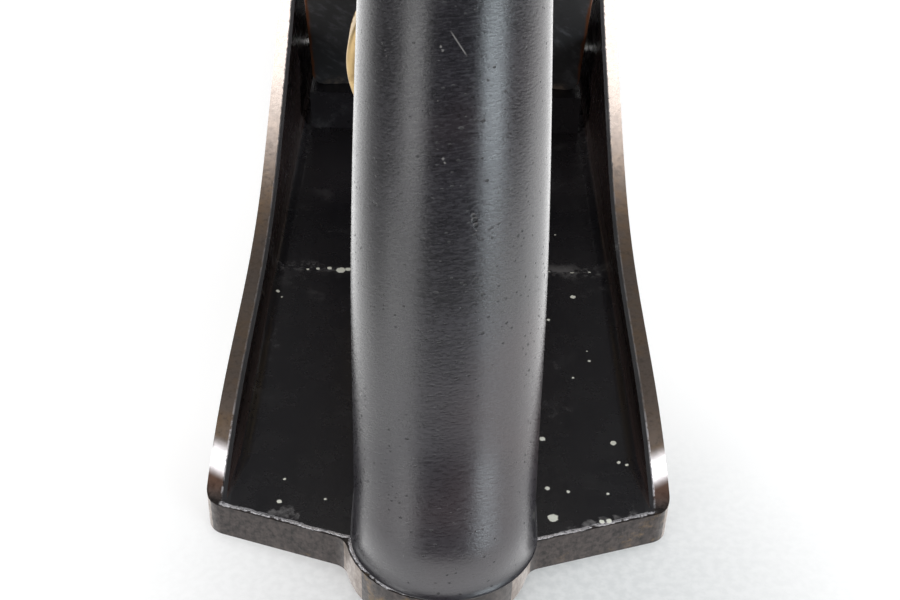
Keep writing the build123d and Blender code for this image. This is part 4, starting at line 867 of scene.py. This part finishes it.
# ---- body
@dataclass
class Body:
    """The cast body with its edges broken and its inside japanned, in millimetres."""

    casting: Casting
    edge: float = 0.6
    squared: float = 9.0
    sweep_start: Point = (87.1, 18.47, -0.42)
    sweep_end: Point = (110.4, 9.0, -0.05)

    def _sweep_y(self, height: float) -> float:
        """Place along the plane where the front of a wall has a height.

        Args:
            height: Height above the sole.

        Returns:
            Y in millimetres.
        """
        (y0, z0, m0), (y1, z1, m1) = self.sweep_start, self.sweep_end
        run, low, high = y1 - y0, 0.0, 1.0
        for _ in range(30):
            u = (low + high) / 2
            bend = ((2 * u ** 3 - 3 * u ** 2 + 1) * z0 + (u ** 3 - 2 * u ** 2 + u) * run * m0
                    + (3 * u ** 2 - 2 * u ** 3) * z1 + (u ** 3 - u ** 2) * run * m1)
            low, high = (u, high) if bend > height else (low, u)
        return y0 + run * (low + high) / 2

    def _smooth_front(self, mesh: bmesh.types.BMesh) -> None:
        """Let the walls run down to the toe rails in one even sweep.

        Args:
            mesh: The casting's bmesh.
        """
        inner = (self.casting.half_width - self.casting.wall - 0.1) * MM
        for vert in mesh.verts:
            height = vert.co.z / MM
            ahead = vert.co.y / MM > self.sweep_start[0]
            if ahead and abs(vert.co.x) > inner and self.sweep_end[1] < height < self.sweep_start[1]:
                vert.co.y = self._sweep_y(height) * MM

    def _square_channel(self, mesh: bmesh.types.BMesh) -> None:
        """Draw the rounded foot of each wall in at the heel, so that its top keeps its width.

        Args:
            mesh: The casting's bmesh.
        """
        c = self.casting
        parts = mesh.verts[:] + mesh.edges[:] + mesh.faces[:]
        bmesh.ops.bisect_plane(mesh, geom=parts, dist=1e-6, plane_no=(0.0, 1.0, 0.0),
                               plane_co=(0.0, (c.corner + self.squared) * MM, 0.0))
        inner = c.half_width - c.wall
        for vert in mesh.verts:
            x, y, z = (value / MM for value in vert.co)
            across = inner - c.fillet - 0.05 < abs(x) < inner - 0.01
            behind = y < c.corner + self.squared - 0.1
            if across and behind and c.floor - 0.01 < z < c.floor + c.fillet:
                vert.co.x = math.copysign(inner * MM, x)

    def build(self) -> bpy.types.Object:
        """Copy the casting, round its edges and dress it.

        Returns:
            The casting.
        """
        mesh = merged_copy("plane_body")
        self._smooth_front(mesh)
        self._square_channel(mesh)
        piece = link_piece("cast_body", mesh)
        round_edges(piece, self.edge)
        declare(piece, "body", "japanned_iron", "plane_body")
        dress(piece, Japan("japanned_body", self.casting).build())
        dress_nodes(Metal.SCREW, "frog_screws", "frog_washers")
        return piece


# ---- tote
@dataclass
class Station:
    """One rounded section of the tote: its back and front in side view, and its width."""

    back: tuple[float, float]
    front: tuple[float, float]
    width: float
    round_share: float = 0.47
    shift: float = 0.0

    def points(self, half_count: int) -> list[Vector]:
        """Points round the section: two half ovals with flat sides between them.

        Args:
            half_count: Points on each half.

        Returns:
            The points in order, in metres.
        """
        back, front = Vector((0, *self.back)), Vector((0, *self.front))
        reach = (front - back).length
        ahead = (front - back).normalized()
        middle = (front + back) / 2 + Vector((self.shift, 0, 0))
        bend = min(self.width / 2, reach * self.round_share)
        ring = []
        for end in (1, -1):
            centre = middle + ahead * end * (reach / 2 - bend)
            for step in range(half_count):
                turn = math.pi * (step / (half_count - 1) - 0.5)
                ring.append((centre + ahead * end * bend * math.cos(turn)
                             + Vector((end * math.sin(turn) * self.width / 2, 0, 0))) * MM)
        return ring


@dataclass
class Tote:
    """The wooden handle behind the frog."""

    half_ring: int = 18
    width: float = 24.8
    height: float = 105.0
    levels: int = 2
    foot_shift: float = 0.8
    top_shift: float = 0.3

    def stations(self) -> list[Station]:
        """Sections of the tote.

        Returns:
            The sections from the foot to the horn's tip.
        """
        low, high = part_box("tote")
        rear, floor, length = low.y / MM, low.z / MM, (high.y - low.y) / MM
        shares = [
            ((0.0, 0.0), (1.0, 0.0), 0.945), ((0.0, 0.006), (1.0, 0.006), 0.948),
            ((0.001, 0.022), (0.998, 0.022), 0.95), ((0.006, 0.05), (0.985, 0.05), 0.952),
            ((0.026, 0.078), (0.93, 0.073), 0.956), ((0.040, 0.099), (0.70, 0.092), 0.962),
            ((0.062, 0.133), (0.56, 0.122), 0.970), ((0.089, 0.175), (0.494, 0.162), 0.98),
            ((0.137, 0.295), (0.452, 0.257), 1.0), ((0.196, 0.448), (0.512, 0.371), 0.980),
            ((0.262, 0.590), (0.589, 0.514), 0.945), ((0.304, 0.705), (0.655, 0.657), 0.90),
            ((0.298, 0.800), (0.649, 0.810), 0.86), ((0.238, 0.867), (0.500, 0.938), 0.79),
            ((0.160, 0.922), (0.310, 0.998), 0.63), ((0.115, 0.956), (0.205, 1.006), 0.44),
            ((0.100, 0.972), (0.146, 0.998), 0.24),
        ]
        fall = self.foot_shift - self.top_shift
        return [Station((rear + b[0] * length, floor + b[1] * self.height),
                        (rear + f[0] * length, floor + f[1] * self.height), self.width * share,
                        shift=self.foot_shift - fall * b[1])
                for b, f, share in shares]

    def build(self, material: bpy.types.Material) -> bpy.types.Object:
        """Loft the rings into one closed form and round it by subdivision.

        Args:
            material: The wood.

        Returns:
            The tote.
        """
        mesh = bmesh.new()
        stations = self.stations()
        ring = bmesh.ops.create_circle(mesh, segments=2 * self.half_ring, radius=1.0,
                                       cap_ends=True)["verts"]
        for vert, point in zip(ring, stations[0].points(self.half_ring)):
            vert.co = point
        edges = list(mesh.edges)
        bmesh.ops.inset_individual(mesh, faces=list(mesh.faces), thickness=0.0006)
        for station in stations[1:]:
            grown = bmesh.ops.extrude_edge_only(mesh, edges=edges)["geom"]
            verts = [g for g in grown if isinstance(g, bmesh.types.BMVert)]
            new = set(verts)
            edges = [g for g in grown if isinstance(g, bmesh.types.BMEdge)
                     and all(v in new for v in g.verts)]
            for vert, point in zip(verts, station.points(self.half_ring)):
                vert.co = point
        bmesh.ops.holes_fill(mesh, edges=edges, sides=0)
        piece = link_piece("tote_handle", mesh)
        rounding = piece.modifiers.new("rounding", "SUBSURF")
        rounding.levels = rounding.render_levels = self.levels
        declare(piece, "body", "dark_wood", "tote")
        dress(piece, material)
        return piece


# ---- knob
@dataclass
class Knob:
    """The turned wooden knob on its boss, in millimetres."""

    foot_radius: float = 16.5
    waist_radius: float = 12.0
    crown_radius: float = 8.4
    recess_radius: float = 4.65
    bore_radius: float = 3.6
    recess_depth: float = 9.0
    foot: float = 4.0
    steps: int = 72

    def profile(self, radius: float, height: float) -> list[tuple[float, float]]:
        """Radius and height of each point of the outline, from the bore's foot outwards.

        Args:
            radius: Largest radius of the knob.
            height: Height of the knob.

        Returns:
            The closed outline.
        """
        base = self.foot_radius
        waist, belly = self.waist_radius, height * 0.69
        crown = [(belly + (height - belly) * math.sin(turn),
                  self.crown_radius + (radius - self.crown_radius) * math.cos(turn))
                 for turn in (math.radians(15 * n) for n in range(6))]
        return [
            (self.bore_radius, 0.0), (base - 0.8, 0.0), (base, 0.5), (base, self.foot - 0.6),
            (base - 0.7, self.foot + 0.5), (waist + 1.9, 8.5), (waist + 0.45, 12.5), (waist, 17.0),
            (waist + 0.9, 22.5), (waist + 3.1, 28.0), (radius - 1.0, 33.2),
            *((across, up) for up, across in crown),
            (self.crown_radius, height), (self.recess_radius, height),
            (self.recess_radius, height - self.recess_depth),
            (self.bore_radius, height - self.recess_depth),
        ]

    def build(self, material: bpy.types.Material) -> bpy.types.Object:
        """Spin the knob and dress it.

        Args:
            material: The wood.

        Returns:
            The knob.
        """
        low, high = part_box("knob")
        centre = Vector(((low.x + high.x) / 2, (low.y + high.y) / 2, low.z))
        outline = self.profile((high.x - low.x) / 2 / MM, (high.z - low.z) / MM)
        mesh = turned(outline, centre, Vector((0, 0, 1)), self.steps, Vector((1, 0, 0)))
        piece = link_piece("front_knob", mesh)
        lasting_creases(piece)
        declare(piece, "body", "dark_wood", "knob")
        dress(piece, material)
        return piece


# ---- frog
@dataclass
class Frog:
    """The frog with its small fittings, in millimetres."""

    corner_from: float = 8.0
    corner_to: float = 2.6
    edge: float = 0.6
    seat: float = 12.0

    def _square_corner(self, mesh: bmesh.types.BMesh, half: float, low: float) -> None:
        """Draw the wide curve of the lower corners out to a tighter one.

        Args:
            mesh: The frog's bmesh.
            half: Half the frog's width.
            low: Height of its foot.
        """
        reach, bend = self.corner_from, self.corner_to
        for vert in mesh.verts:
            out = abs(vert.co.x) / MM - (half - reach)
            down = low + reach - vert.co.z / MM
            if out <= 0.01 or down <= 0.01 or math.hypot(out, down) > reach + 0.05:
                continue
            share = min(out, down) / max(out, down)
            flat = reach - bend
            if share <= flat / reach:
                grown = reach / max(out, down)
            else:
                run = flat * (1 + share)
                grown = (run + math.sqrt(max(run * run - (1 + share * share)
                                             * (2 * flat * flat - bend * bend), 0.0)))
                grown = grown / (1 + share * share) / max(out, down)
            grown = 1 + (grown - 1) * math.hypot(out, down) / reach if grown > 1 else 1.0
            vert.co.x = math.copysign((half - reach + out * grown) * MM, vert.co.x)
            vert.co.z = (low + reach - down * grown) * MM

    def build(self) -> bpy.types.Object:
        """Copy the frog, tighten its lower corners, round its edges and dress it.

        Returns:
            The frog.
        """
        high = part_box("frog")[1]
        mesh = merged_copy("frog")
        self._square_corner(mesh, high.x / MM, self.seat)
        piece = link_piece("cast_frog", mesh)
        round_edges(piece, self.edge)
        declare(piece, "frog", "japanned_iron", "frog")
        black = FrogBlack(high.x / MM).build()
        dress(piece, black)
        dress(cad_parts["y_lever"], black)
        dress_nodes(Metal.SCREW, "frog_adjusting_screw", "frog_adjusting_plate", "plate_screw",
                    "depth_stud", "y_lever_pin", "lateral_lever", "lateral_lever_rivet",
                    "lateral_roller", "lever_cap_screw")
        return piece


# ---- depth wheel
@dataclass
class DepthWheel:
    """The knurled brass wheel that sets the depth of cut, in millimetres."""

    bore: float = 3.65
    hub: float = 5.6
    dish_radius: float = 12.6
    dish: float = 2.4
    rim: float = 8.0
    groove: float = 5.8
    flange: float = 2.2
    flange_radius: float = 8.6
    lip: float = 1.1
    knurls: int = 96
    knurl_depth: float = 0.22

    def profile(self, radius: float) -> list[tuple[float, float]]:
        """Radius and place along the stud of each point, from the back face forwards.

        Args:
            radius: Radius of the rim.

        Returns:
            The closed outline.
        """
        front = self.rim + self.groove
        end = front + self.flange
        lip = self.lip
        return [
            (self.bore, self.dish), (self.hub + 1.5, self.dish),
            (self.dish_radius - 0.4, 0.25), (self.dish_radius + 0.3, 0.0),
            (radius - lip, 0.0), (radius - 0.45, 0.2), (radius - 0.12, 0.55), (radius, lip),
            (radius, lip + 0.25), (radius, self.rim - lip - 0.25), (radius, self.rim - lip),
            (radius - 0.12, self.rim - 0.55), (radius - 0.45, self.rim - 0.2),
            (radius - lip, self.rim), (self.hub, self.rim), (self.hub, front),
            (self.flange_radius - 0.3, front), (self.flange_radius, front + 0.3),
            (self.flange_radius, end - 0.4), (self.flange_radius - 0.4, end), (self.bore, end),
        ]

    def build(self) -> bpy.types.Object:
        """Spin the wheel, press its knurls in and dress it.

        Returns:
            The wheel.
        """
        low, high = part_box("depth_wheel")
        radius = (high.x - low.x) / 2
        centre = Vector(((low.x + high.x) / 2, low.y, (low.z + high.z) / 2))
        mesh = turned(self.profile(radius / MM), centre, Vector((0, 1, 0)), 2 * self.knurls,
                      Vector((1, 0, 0)))
        low_end, high_end = (self.lip + 0.1) * MM, (self.rim - self.lip - 0.1) * MM
        for vert in mesh.verts:
            arm = vert.co - centre
            along, arm.y = arm.y, 0.0
            step = round(math.atan2(arm.z, arm.x) / math.tau * 2 * self.knurls)
            if arm.length > radius - 0.05 * MM and low_end < along < high_end and step % 2:
                vert.co -= arm.normalized() * self.knurl_depth * MM
        piece = link_piece("knurled_wheel", mesh)
        lasting_creases(piece)
        declare(piece, "depth_wheel", "brass", "depth_wheel")
        dress(piece, metal(Metal.BRASS))
        return piece


# ---- irons and lever cap
@dataclass
class Irons:
    """The cutting iron and the cap iron with their screw."""

    def build(self) -> None:
        """Dress the irons."""
        dress_nodes(Metal.TOOL_STEEL, "plane_iron")
        dress_nodes(Metal.CAP_STEEL, "cap_iron")
        dress_nodes(Metal.SCREW, "cap_iron_screw")


@dataclass
class LeverCap:
    """The plated lever cap, its cam, pin and spring, in millimetres."""

    edge: float = 0.7
    cam_edge: float = 0.49

    def build(self) -> None:
        """Round the cap's and the cam's edges and dress all of it."""
        for node, name, width in (("lever_cap", "plated_cap", self.edge),
                                  ("lever_cap_cam", "cam_lever", self.cam_edge)):
            piece = link_piece(name, merged_copy(node))
            round_edges(piece, width)
            declare(piece, node, "nickel_iron", node)
            dress(piece, metal(Metal.NICKEL))
        dress_nodes(Metal.SCREW, "cam_pin", "spring_rivet")
        dress_nodes(Metal.SPRING, "lever_cap_spring")


# ---- studio
@dataclass(frozen=True)
class Softbox:
    """One rectangular soft light aimed at the plane."""

    name: str
    place: Point
    width: float
    height: float
    radiance: float
    colour: Colour = (1.0, 1.0, 1.0)

    def build(self) -> None:
        """Make the light."""
        data = bpy.data.lights.new(self.name, "AREA")
        data.shape = "RECTANGLE"
        data.size, data.size_y = self.width, self.height
        data.energy = self.radiance * math.pi * self.width * self.height
        data.color = self.colour
        lamp = bpy.data.objects.new(self.name, data)
        lamp.location = self.place
        aim = Vector((0, -0.05, 0.05)) - Vector(self.place)
        lamp.rotation_euler = aim.to_track_quat("-Z", "Y").to_euler()
        bpy.context.scene.collection.objects.link(lamp)


@dataclass(frozen=True)
class Studio:
    """Pale floor, dim room with a white sweep ahead, and soft lights."""

    floor: Colour = (0.86, 0.86, 0.86)
    paper: float = 1.34
    lift: float = 0.5
    # shade and shade_at: depth and centre of the painted shadow on the floor round the heel.
    shade: float = 0.58
    shade_at: tuple[float, float] = (10.0, -126.0)
    tote_back: float = -95.0
    sheen: float = 2.6
    ambient: float = 0.34
    room: float = 0.10
    boxes: tuple[Softbox, ...] = (
        Softbox("overhead", (0.0, 0.1, 1.0), 1.0, 0.62, 4.4),
        Softbox("window_right", (0.72, -0.74, 0.24), 0.46, 0.34, 10.0, (0.84, 0.94, 1.0)),
        Softbox("window_left", (-0.70, -0.76, 0.24), 0.46, 0.34, 5.0),
    )

    def build(self) -> None:
        """Make the floor, the world and the lights."""
        self._floor()
        self._world()
        for box in self.boxes:
            box.build()

    def _floor(self) -> None:
        """Wide floor that shows near white to the camera, keeps half of its real soft shadow and
        adds a painted shadow round the heel.
        """
        mesh = bmesh.new()
        bmesh.ops.create_grid(mesh, x_segments=1, y_segments=1, size=6.0)
        floor = link_piece("floor", mesh, smooth=False)
        s = Shader("floor")
        dress(floor, s.finish(self.floor, 0.9, settings={"Specular IOR Level": 0.1}))
        rays = s.node("ShaderNodeLightPath", {}, {}).outputs
        x, y, _ = s.axes()
        lifted = s.node("ShaderNodeMixShader", {}, {
            0: Wire(s, rays["Is Camera Ray"]) * self.lift, 1: s.surface.outputs[0],
            2: self._paper(s, x, y)})
        both = s.node("ShaderNodeMixShader", {}, {
            0: rays["Is Glossy Ray"], 1: lifted.outputs[0], 2: self._mirrored(s, x, y)})
        s.feed(s.output.inputs["Surface"], both.outputs[0])

    def _paper(self, s: Shader, x: Wire, y: Wire) -> bpy.types.NodeSocket:
        """White of the floor with a painted shadow round the heel.

        Args:
            s: Shader of the floor.
            x: X of the surface point, in millimetres.
            y: Y of the surface point, in millimetres.

        Returns:
            The emission's socket.
        """
        across, along = x - self.shade_at[0], y - self.shade_at[1]
        beside = (across * across + along * along).root()
        grain = s.noise(900.0, 2.0).ramp(0.3, 0.7, 0.9, 1.1)
        # Painted shadow round the heel, tinted cyan to the right.
        shadow_pool = beside.ramp(8.0, 68.0, self.shade, 0.0) * grain
        shadow_tint = s.mix(x.ramp(-10.0, 22.0), (0.02, 0.02, 0.02), (0.0, 0.04, 0.05))
        colour = s.mix(shadow_pool, (1.0, 1.0, 1.0), shadow_tint)
        return s.node("ShaderNodeEmission", {}, {"Color": colour,
                                                 "Strength": self.paper}).outputs[0]

    def _mirrored(self, s: Shader, x: Wire, y: Wire) -> bpy.types.NodeSocket:
        """Painted reflection: the floor glows for reflections only, brighter ahead and to the right,
        dim far away.

        Args:
            s: Shader of the floor.
            x: X of the surface point, in millimetres.
            y: Y of the surface point, in millimetres.

        Returns:
            The emission's socket.
        """
        reach = (x * x + y * y).root()
        away = reach.ramp(220.0, 620.0, 1.0, 0.12)
        ahead = (y / (reach + 1.0)).ramp(0.4, 0.75, 0.0, 1.2) * reach.ramp(100.0, 200.0)
        rear = y - self.tote_back
        out = (x * x + rear * rear).root() + 1.0
        # Painted reflection: a brighter beam off behind the tote to each side, and a flank darker on
        # the left and brighter on the right.
        beam = ((abs(x) * 0.8 - rear * 0.6) / out).ramp(0.9, 0.985) * out.ramp(150.0, 260.0)
        flank = (1.0 - abs(rear - 5.0) / out).ramp(0.45, 0.9) * out.ramp(80.0, 150.0)
        away = away * (1.0 + flank * x.ramp(-20.0, 20.0, -0.6, 0.25)) * (1.0 + beam * 1.3)
        return s.node("ShaderNodeEmission", {}, {"Color": away.most(ahead),
                                                 "Strength": self.sheen}).outputs[0]

    def _world(self) -> None:
        """White to the camera; in reflections a dim room with a bright sweep ahead."""
        world = bpy.data.worlds.new("studio")
        bpy.context.scene.world = world
        world.use_nodes = True
        sky = Tree(world.node_tree)
        rays = sky.node("ShaderNodeLightPath", {}, {}).outputs
        _, ahead, up = sky.split(sky.node("ShaderNodeTexCoord", {}, {}).outputs["Generated"])
        sweep = up.ramp(0.18, 0.45, 1.0, 0.0) * ahead.ramp(0.4, 0.75)
        plain, seen, mirrored = (
            sky.node("ShaderNodeBackground", {}, {"Color": (1.0, 1.0, 1.0),
                                                  "Strength": strength}).outputs[0]
            for strength in (self.ambient, 1.0, sweep * self.sheen + self.room))
        unseen = sky.node("ShaderNodeMixShader", {}, {0: rays["Is Glossy Ray"], 1: plain,
                                                      2: mirrored}).outputs[0]
        both = sky.node("ShaderNodeMixShader", {}, {0: rays["Is Camera Ray"], 1: unseen,
                                                    2: seen}).outputs[0]
        sky.node("ShaderNodeOutputWorld", {}, {"Surface": both})


@dataclass(frozen=True)
class ViewPoint:
    """The camera: close behind and above the heel."""

    place: Point = (-0.0009, -0.2378, 0.1341)
    yaw: float = 0.71
    pitch: float = 35.88
    roll: float = 1.71
    lens: float = 54.7

    def build(self) -> None:
        """Make the camera and set the view transform."""
        data = bpy.data.cameras.new("camera")
        data.lens = self.lens
        data.sensor_width = 36.0
        data.clip_start = 0.01
        camera = bpy.data.objects.new("camera", data)
        yaw, pitch, roll = (math.radians(a) for a in (self.yaw, self.pitch, self.roll))
        ahead = Vector((math.sin(yaw) * math.cos(pitch), math.cos(yaw) * math.cos(pitch),
                        -math.sin(pitch)))
        right = Vector((math.cos(yaw), -math.sin(yaw), 0))
        up = right.cross(ahead)
        side = right * math.cos(roll) + up * math.sin(roll)
        top = up * math.cos(roll) - right * math.sin(roll)
        turn = Matrix((side, top, -ahead)).transposed().to_4x4()
        camera.matrix_world = Matrix.Translation(self.place) @ turn
        bpy.context.scene.collection.objects.link(camera)
        bpy.context.scene.camera = camera
        bpy.context.scene.view_settings.view_transform = "Standard"


# ---- the plane
@dataclass
class HandPlane:
    """The whole plane, sub-assembly by sub-assembly."""

    casting: Casting

    def build(self) -> None:
        """Build and dress every sub-assembly."""
        wood = DarkWood().build()
        Body(self.casting).build()
        Tote().build(wood)
        Knob().build(wood)
        Frog().build()
        DepthWheel().build()
        Irons().build()
        LeverCap().build()
        dress_nodes(Metal.BRASS, "tote_nut", "knob_nut")
        dress_nodes(Metal.SCREW, "tote_bolt", "knob_bolt")


def main() -> None:
    """Build the studio, the camera and the plane from the casting's sizes."""
    logging.basicConfig(level=logging.INFO)
    ViewPoint().build()
    Studio().build()
    HandPlane(Casting.from_frame()).build()


if __name__ == "__main__":
    main()
